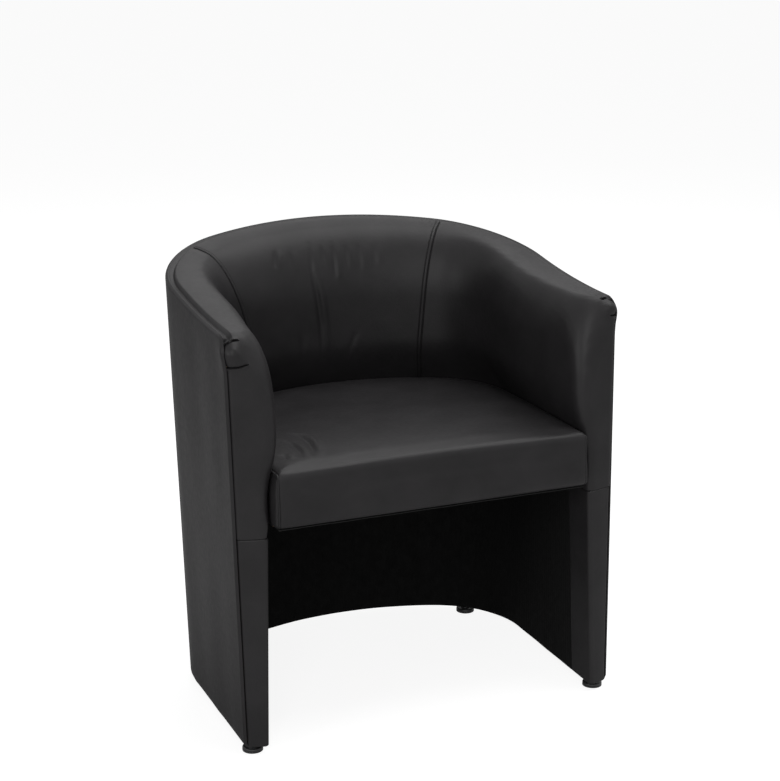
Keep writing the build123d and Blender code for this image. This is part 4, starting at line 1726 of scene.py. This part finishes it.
@dataclass
class HiddenCloths:
    """The cloths and straps that show only from below: dust cloth, felt, webbing and wall underside."""

    seat: Seat
    black_cloth: Material
    felt: Material
    strap: Material
    strap_width: float = 0.060
    strap_thickness: float = 0.0013
    strap_counts: tuple[int, int] = (4, 5)
    strap_pitches: tuple[float, float] = (0.084, 0.092)
    strap_wave: float = 0.0004
    strip_start: float = 0.010
    strip_margin: float = 0.0035
    strip_lift: float = 0.0002
    strip_thickness: float = 0.0009

    def webbing(self, name: str, along: int) -> Piece:
        """Builds the straps of one direction, a layer that waves a little over the other one.

        Args:
            name: The piece's name, also the CAD node's.
            along: 1 for straps from front to back, 0 for straps from side to side.

        Returns:
            The joined straps.
        """
        low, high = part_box(name)
        across = 1 - along
        count = self.strap_counts[along]
        straps = []
        middle = (low[across] + high[across]) / 2
        for index in range(count):
            offset = middle + (index - (count - 1) / 2) * self.strap_pitches[along]

            def place(u: Points, v: Points, offset: float = offset, index: int = index) -> Points:
                """Lays one strap along its way.

                Args:
                    u: Shares of its length.
                    v: Shares of its width.
                    offset: Where its middle lies.
                    index: Its number, which turns the wave over.

                Returns:
                    The points as rows.
                """
                way = low[along] + u * (high[along] - low[along])
                side = offset + (v - 0.5) * self.strap_width
                wave = np.cos(math.pi * (way / self.strap_pitches[across] + index)) * self.strap_wave
                z = (low[2] + high[2]) / 2 + wave * ease(np.minimum(u, 1 - u) / 0.15)
                return np.stack([side, way, z] if along else [way, side, z], axis=-1)

            strap = lay_grid(f"strap_{index}", 80, 8, place)
            turn_faces(strap, Facing.UP)
            thicken(strap, self.strap_thickness, offset=0.0)
            straps.append(strap)
        return join_pieces(straps, f"{name}_straps")

    def underside(self) -> Piece:
        """Builds the cloth that closes the wall's lower edge.

        Returns:
            The cloth as a closed shell.
        """
        def place(u: Points, v: Points) -> Points:
            """Lays the horseshoe strip under the wall.

            Args:
                u: Shares of the way round.
                v: Shares of the way in.

            Returns:
                The points as rows.
            """
            side, m = halves(u)
            run = self.strip_start + m * (TUB.half_run - self.strip_start)
            z = np.full_like(run, TUB.lower_edge + self.strip_lift)
            inset = self.strip_margin + v * (TUB.lower_thickness(z) - 2 * self.strip_margin)
            return TUB.lay(run, side, z, inset)

        cloth = lay_grid("underside_strip", 200, 6, place)
        turn_faces(cloth, Facing.DOWN)
        thicken(cloth, self.strip_thickness)
        return cloth

    def build(self) -> None:
        """Builds and dresses all the hidden cloths."""
        dust = self.seat.flat_sheet(
            "seat_underside_cloth", inward=0.008, z=0.3688, sag=0.0, thickness=0.0008)
        hand_over(dust, Slot.DUST_CLOTH, self.black_cloth, "seat_dust_cloth")
        felt = self.seat.flat_sheet("felt_layer", inward=0.016, z=0.3955, sag=0.0002, thickness=0.0016)
        hand_over(felt, Slot.FELT, self.felt, "seat_felt")
        for name, along in (("webbing_long", 1), ("webbing_cross", 0)):
            straps = self.webbing(name, along)
            hand_over(straps, Slot.WEBBING, self.strap, name)
        under = self.underside()
        hand_over(under, Slot.DUST_CLOTH, self.black_cloth, "underside_cloth")


@dataclass
class FrameFinishes:
    """The finishes of the CAD nodes that stay: wood, screws and glides."""

    plywood: Material
    beech: Material
    dark_cleat_wood: Material
    steel: Material
    plastic: Material

    def build(self) -> None:
        """Dresses each remaining node in its finish."""
        plies = ("bottom_ring", "seat_ring", "inner_panel", "lower_inner_panel", "outer_panel", "top_rail")
        metal = ("cleat_screws", "seat_bolts", "threaded_inserts")
        for name, node in frame["nodes"].items():
            if name.startswith("glide_pad"):
                material = self.plastic
            elif name.startswith("glide_stem") or name in metal:
                material = self.steel
            elif name in plies:
                material = self.plywood
            # The seat cleats, which sit in the dark under the seat, get a near-black wood colour.
            elif name.startswith("seat_cleat"):
                material = self.dark_cleat_wood
            else:
                material = self.beech
            if not node.hide_render:
                node.data.materials.clear()
                node.data.materials.append(material)
                log.info("%s: %s", name, material.name)


@dataclass
class Studio:
    """The white room, its lamps and the camera."""

    target: Triple = (0.041154, -0.007, 0.348917)
    azimuth: float = -23.0807
    elevation: float = 18.6021
    distance: float = 3.118615
    focal_pixels: float = 1835.824
    picture: tuple[int, int] = (780, 781)
    target_pixel: tuple[float, float] = (395.853, 468.636)
    floor_size: float = 60.0
    world_fill: float = 0.20
    floor_glow: float = 0.88
    floor_haze: float = 0.12
    floor_grey: float = 0.38
    sensor: float = 36.0
    lamp_target: Triple = (0.0, 0.0, 0.4)
    lamps: tuple[tuple[str, Triple, float, float], ...] = (
        ("overhead_softbox", (1.0, 0.0, 3.0), 2.4, 60.0),
        ("front_softbox", (-1.4, -3.4, 2.0), 1.8, 29.0),
        ("left_softbox", (-3.2, -1.3, 1.1), 1.2, 16.0),
        ("rear_softbox", (0.9, 2.6, 2.9), 1.6, 18.0),
    )

    def camera(self) -> None:
        """Places the camera at the photograph's viewpoint."""
        turn = math.radians(self.azimuth)
        lift = math.radians(self.elevation)
        away = Vector((math.sin(turn) * math.cos(lift), -math.cos(turn) * math.cos(lift), math.sin(lift)))
        bpy.ops.object.select_all(action="DESELECT")
        bpy.ops.object.camera_add(location=Vector(self.target) + away * self.distance)
        camera = bpy.context.active_object
        camera.name = "photo_camera"
        camera.rotation_euler = away.to_track_quat("Z", "Y").to_euler()
        longest = max(self.picture)
        camera.data.sensor_width = self.sensor
        camera.data.lens = self.sensor * self.focal_pixels / longest
        camera.data.shift_x = (self.picture[0] / 2 - self.target_pixel[0]) / longest
        camera.data.shift_y = (self.target_pixel[1] - self.picture[1] / 2) / longest
        bpy.context.scene.camera = camera

    def lamp(self, name: str, place: Triple, size: float, power: float) -> None:
        """Adds a soft square lamp that faces the chair.

        Args:
            name: The lamp's name.
            place: Where it hangs.
            size: Its side length.
            power: Its power in watts.
        """
        bpy.ops.object.select_all(action="DESELECT")
        bpy.ops.object.light_add(type="AREA", location=place)
        lamp = bpy.context.active_object
        lamp.name = name
        lamp.data.size = size
        lamp.data.energy = power
        away = Vector(place) - Vector(self.lamp_target)
        lamp.rotation_euler = away.to_track_quat("Z", "Y").to_euler()

    def seen_rays(self, tree: bpy.types.NodeTree) -> Socket:
        """Tells the rays that are seen from those that only bring light.

        Args:
            tree: The node tree that asks.

        Returns:
            1 for rays from the camera, in reflections and through glass, and 0 for light.
        """
        path = tree.nodes.new("ShaderNodeLightPath")
        last = path.outputs["Is Camera Ray"]
        for kind in ("Is Glossy Ray", "Is Transmission Ray"):
            most = tree.nodes.new("ShaderNodeMath")
            most.operation = "MAXIMUM"
            tree.links.new(last, most.inputs[0])
            tree.links.new(path.outputs[kind], most.inputs[1])
            last = most.outputs[0]
        return last

    def world(self) -> None:
        """Makes the room white to the camera and in reflections, and a little softer as a light."""
        world = bpy.data.worlds.new("white_room")
        bpy.context.scene.world = world
        world.use_nodes = True
        tree = world.node_tree
        tree.nodes.clear()
        mix = tree.nodes.new("ShaderNodeMixShader")
        tree.links.new(self.seen_rays(tree), mix.inputs["Fac"])
        for index, strength in enumerate((self.world_fill, 1.0), start=1):
            white = tree.nodes.new("ShaderNodeBackground")
            white.inputs["Color"].default_value = (1.0, 1.0, 1.0, 1.0)
            white.inputs["Strength"].default_value = strength
            tree.links.new(white.outputs[0], mix.inputs[index])
        out = tree.nodes.new("ShaderNodeOutputWorld")
        tree.links.new(mix.outputs[0], out.inputs["Surface"])

    def floor(self) -> None:
        """Lays the pale floor."""
        bpy.ops.object.select_all(action="DESELECT")
        bpy.ops.mesh.primitive_grid_add(x_subdivisions=8, y_subdivisions=8, size=self.floor_size)
        floor = bpy.context.active_object
        floor.name = "floor"
        board = NodeBoard("white_floor")
        board.tint(board.noise(2.0, 2.0), (0.90, 0.90, 0.90), (0.93, 0.93, 0.93))
        board.dial(Roughness=0.9, Specular_IOR_Level=0.0)
        soft = board.add("ShaderNodeBsdfDiffuse", Color=(*[self.floor_grey] * 3, 1.0))
        glow = board.add("ShaderNodeEmission", Strength=self.floor_glow)
        pale = board.add("ShaderNodeAddShader")
        board.join(soft.outputs[0], pale.inputs[0])
        board.join(glow.outputs[0], pale.inputs[1])
        hazy = board.add("ShaderNodeEmission", Strength=self.floor_haze)
        mirrored = board.add("ShaderNodeAddShader")
        board.join(board.shader.outputs[0], mirrored.inputs[0])
        board.join(hazy.outputs[0], mirrored.inputs[1])
        path = board.add("ShaderNodeLightPath")
        last = board.shader.outputs[0]
        seen = (("Is Transmission Ray", mirrored), ("Is Glossy Ray", mirrored), ("Is Camera Ray", pale))
        for kind, shader in seen:
            pick = board.add("ShaderNodeMixShader")
            board.join(path.outputs[kind], pick.inputs["Fac"])
            board.join(last, pick.inputs[1])
            board.join(shader.outputs[0], pick.inputs[2])
            last = pick.outputs[0]
        board.join(last, board.tree.nodes["Material Output"].inputs["Surface"])
        floor.data.materials.append(board.material)

    def build(self) -> None:
        """Sets up the room, the lamps and the camera."""
        bpy.context.scene.view_settings.view_transform = "Standard"
        self.world()
        self.floor()
        for lamp in self.lamps:
            self.lamp(*lamp)
        self.camera()


def main() -> None:
    """Builds the chair's dressing piece by piece."""
    hide = Leather().make()
    lining = Weave("lining_cloth", (0.002, 0.002, 0.002), (0.005, 0.005, 0.005), specular=0.14).make()
    black_cloth = Weave("black_dust_cloth", (0.010, 0.010, 0.010), (0.022, 0.022, 0.022)).make()
    felt = Weave("grey_felt", (0.10, 0.10, 0.11), (0.22, 0.22, 0.23), pitch=500.0).make()
    strap = Weave("webbing_strap", (0.035, 0.033, 0.030), (0.12, 0.11, 0.09), pitch=700.0).make()
    WallPadding(hide).build()
    OuterCover(hide).build()
    LegCovers(hide).build()
    LowerLining(lining).build()
    seat = Seat(hide)
    seat.build()
    HiddenCloths(seat, black_cloth, felt, strap).build()
    FrameFinishes(
        Timber("birch_plywood", (0.42, 0.28, 0.15), (0.62, 0.46, 0.29), layered=True).make(),
        Timber("beech", (0.36, 0.21, 0.11), (0.55, 0.37, 0.21)).make(),
        # Near-black wood for the seat cleats under the seat.
        Timber("near_black_beech", (0.006, 0.005, 0.005), (0.014, 0.012, 0.011)).make(),
        PlatedSteel().make(),
        MouldedPlastic().make(),
    ).build()
    Studio().build()


if __name__ == "__main__":
    main()
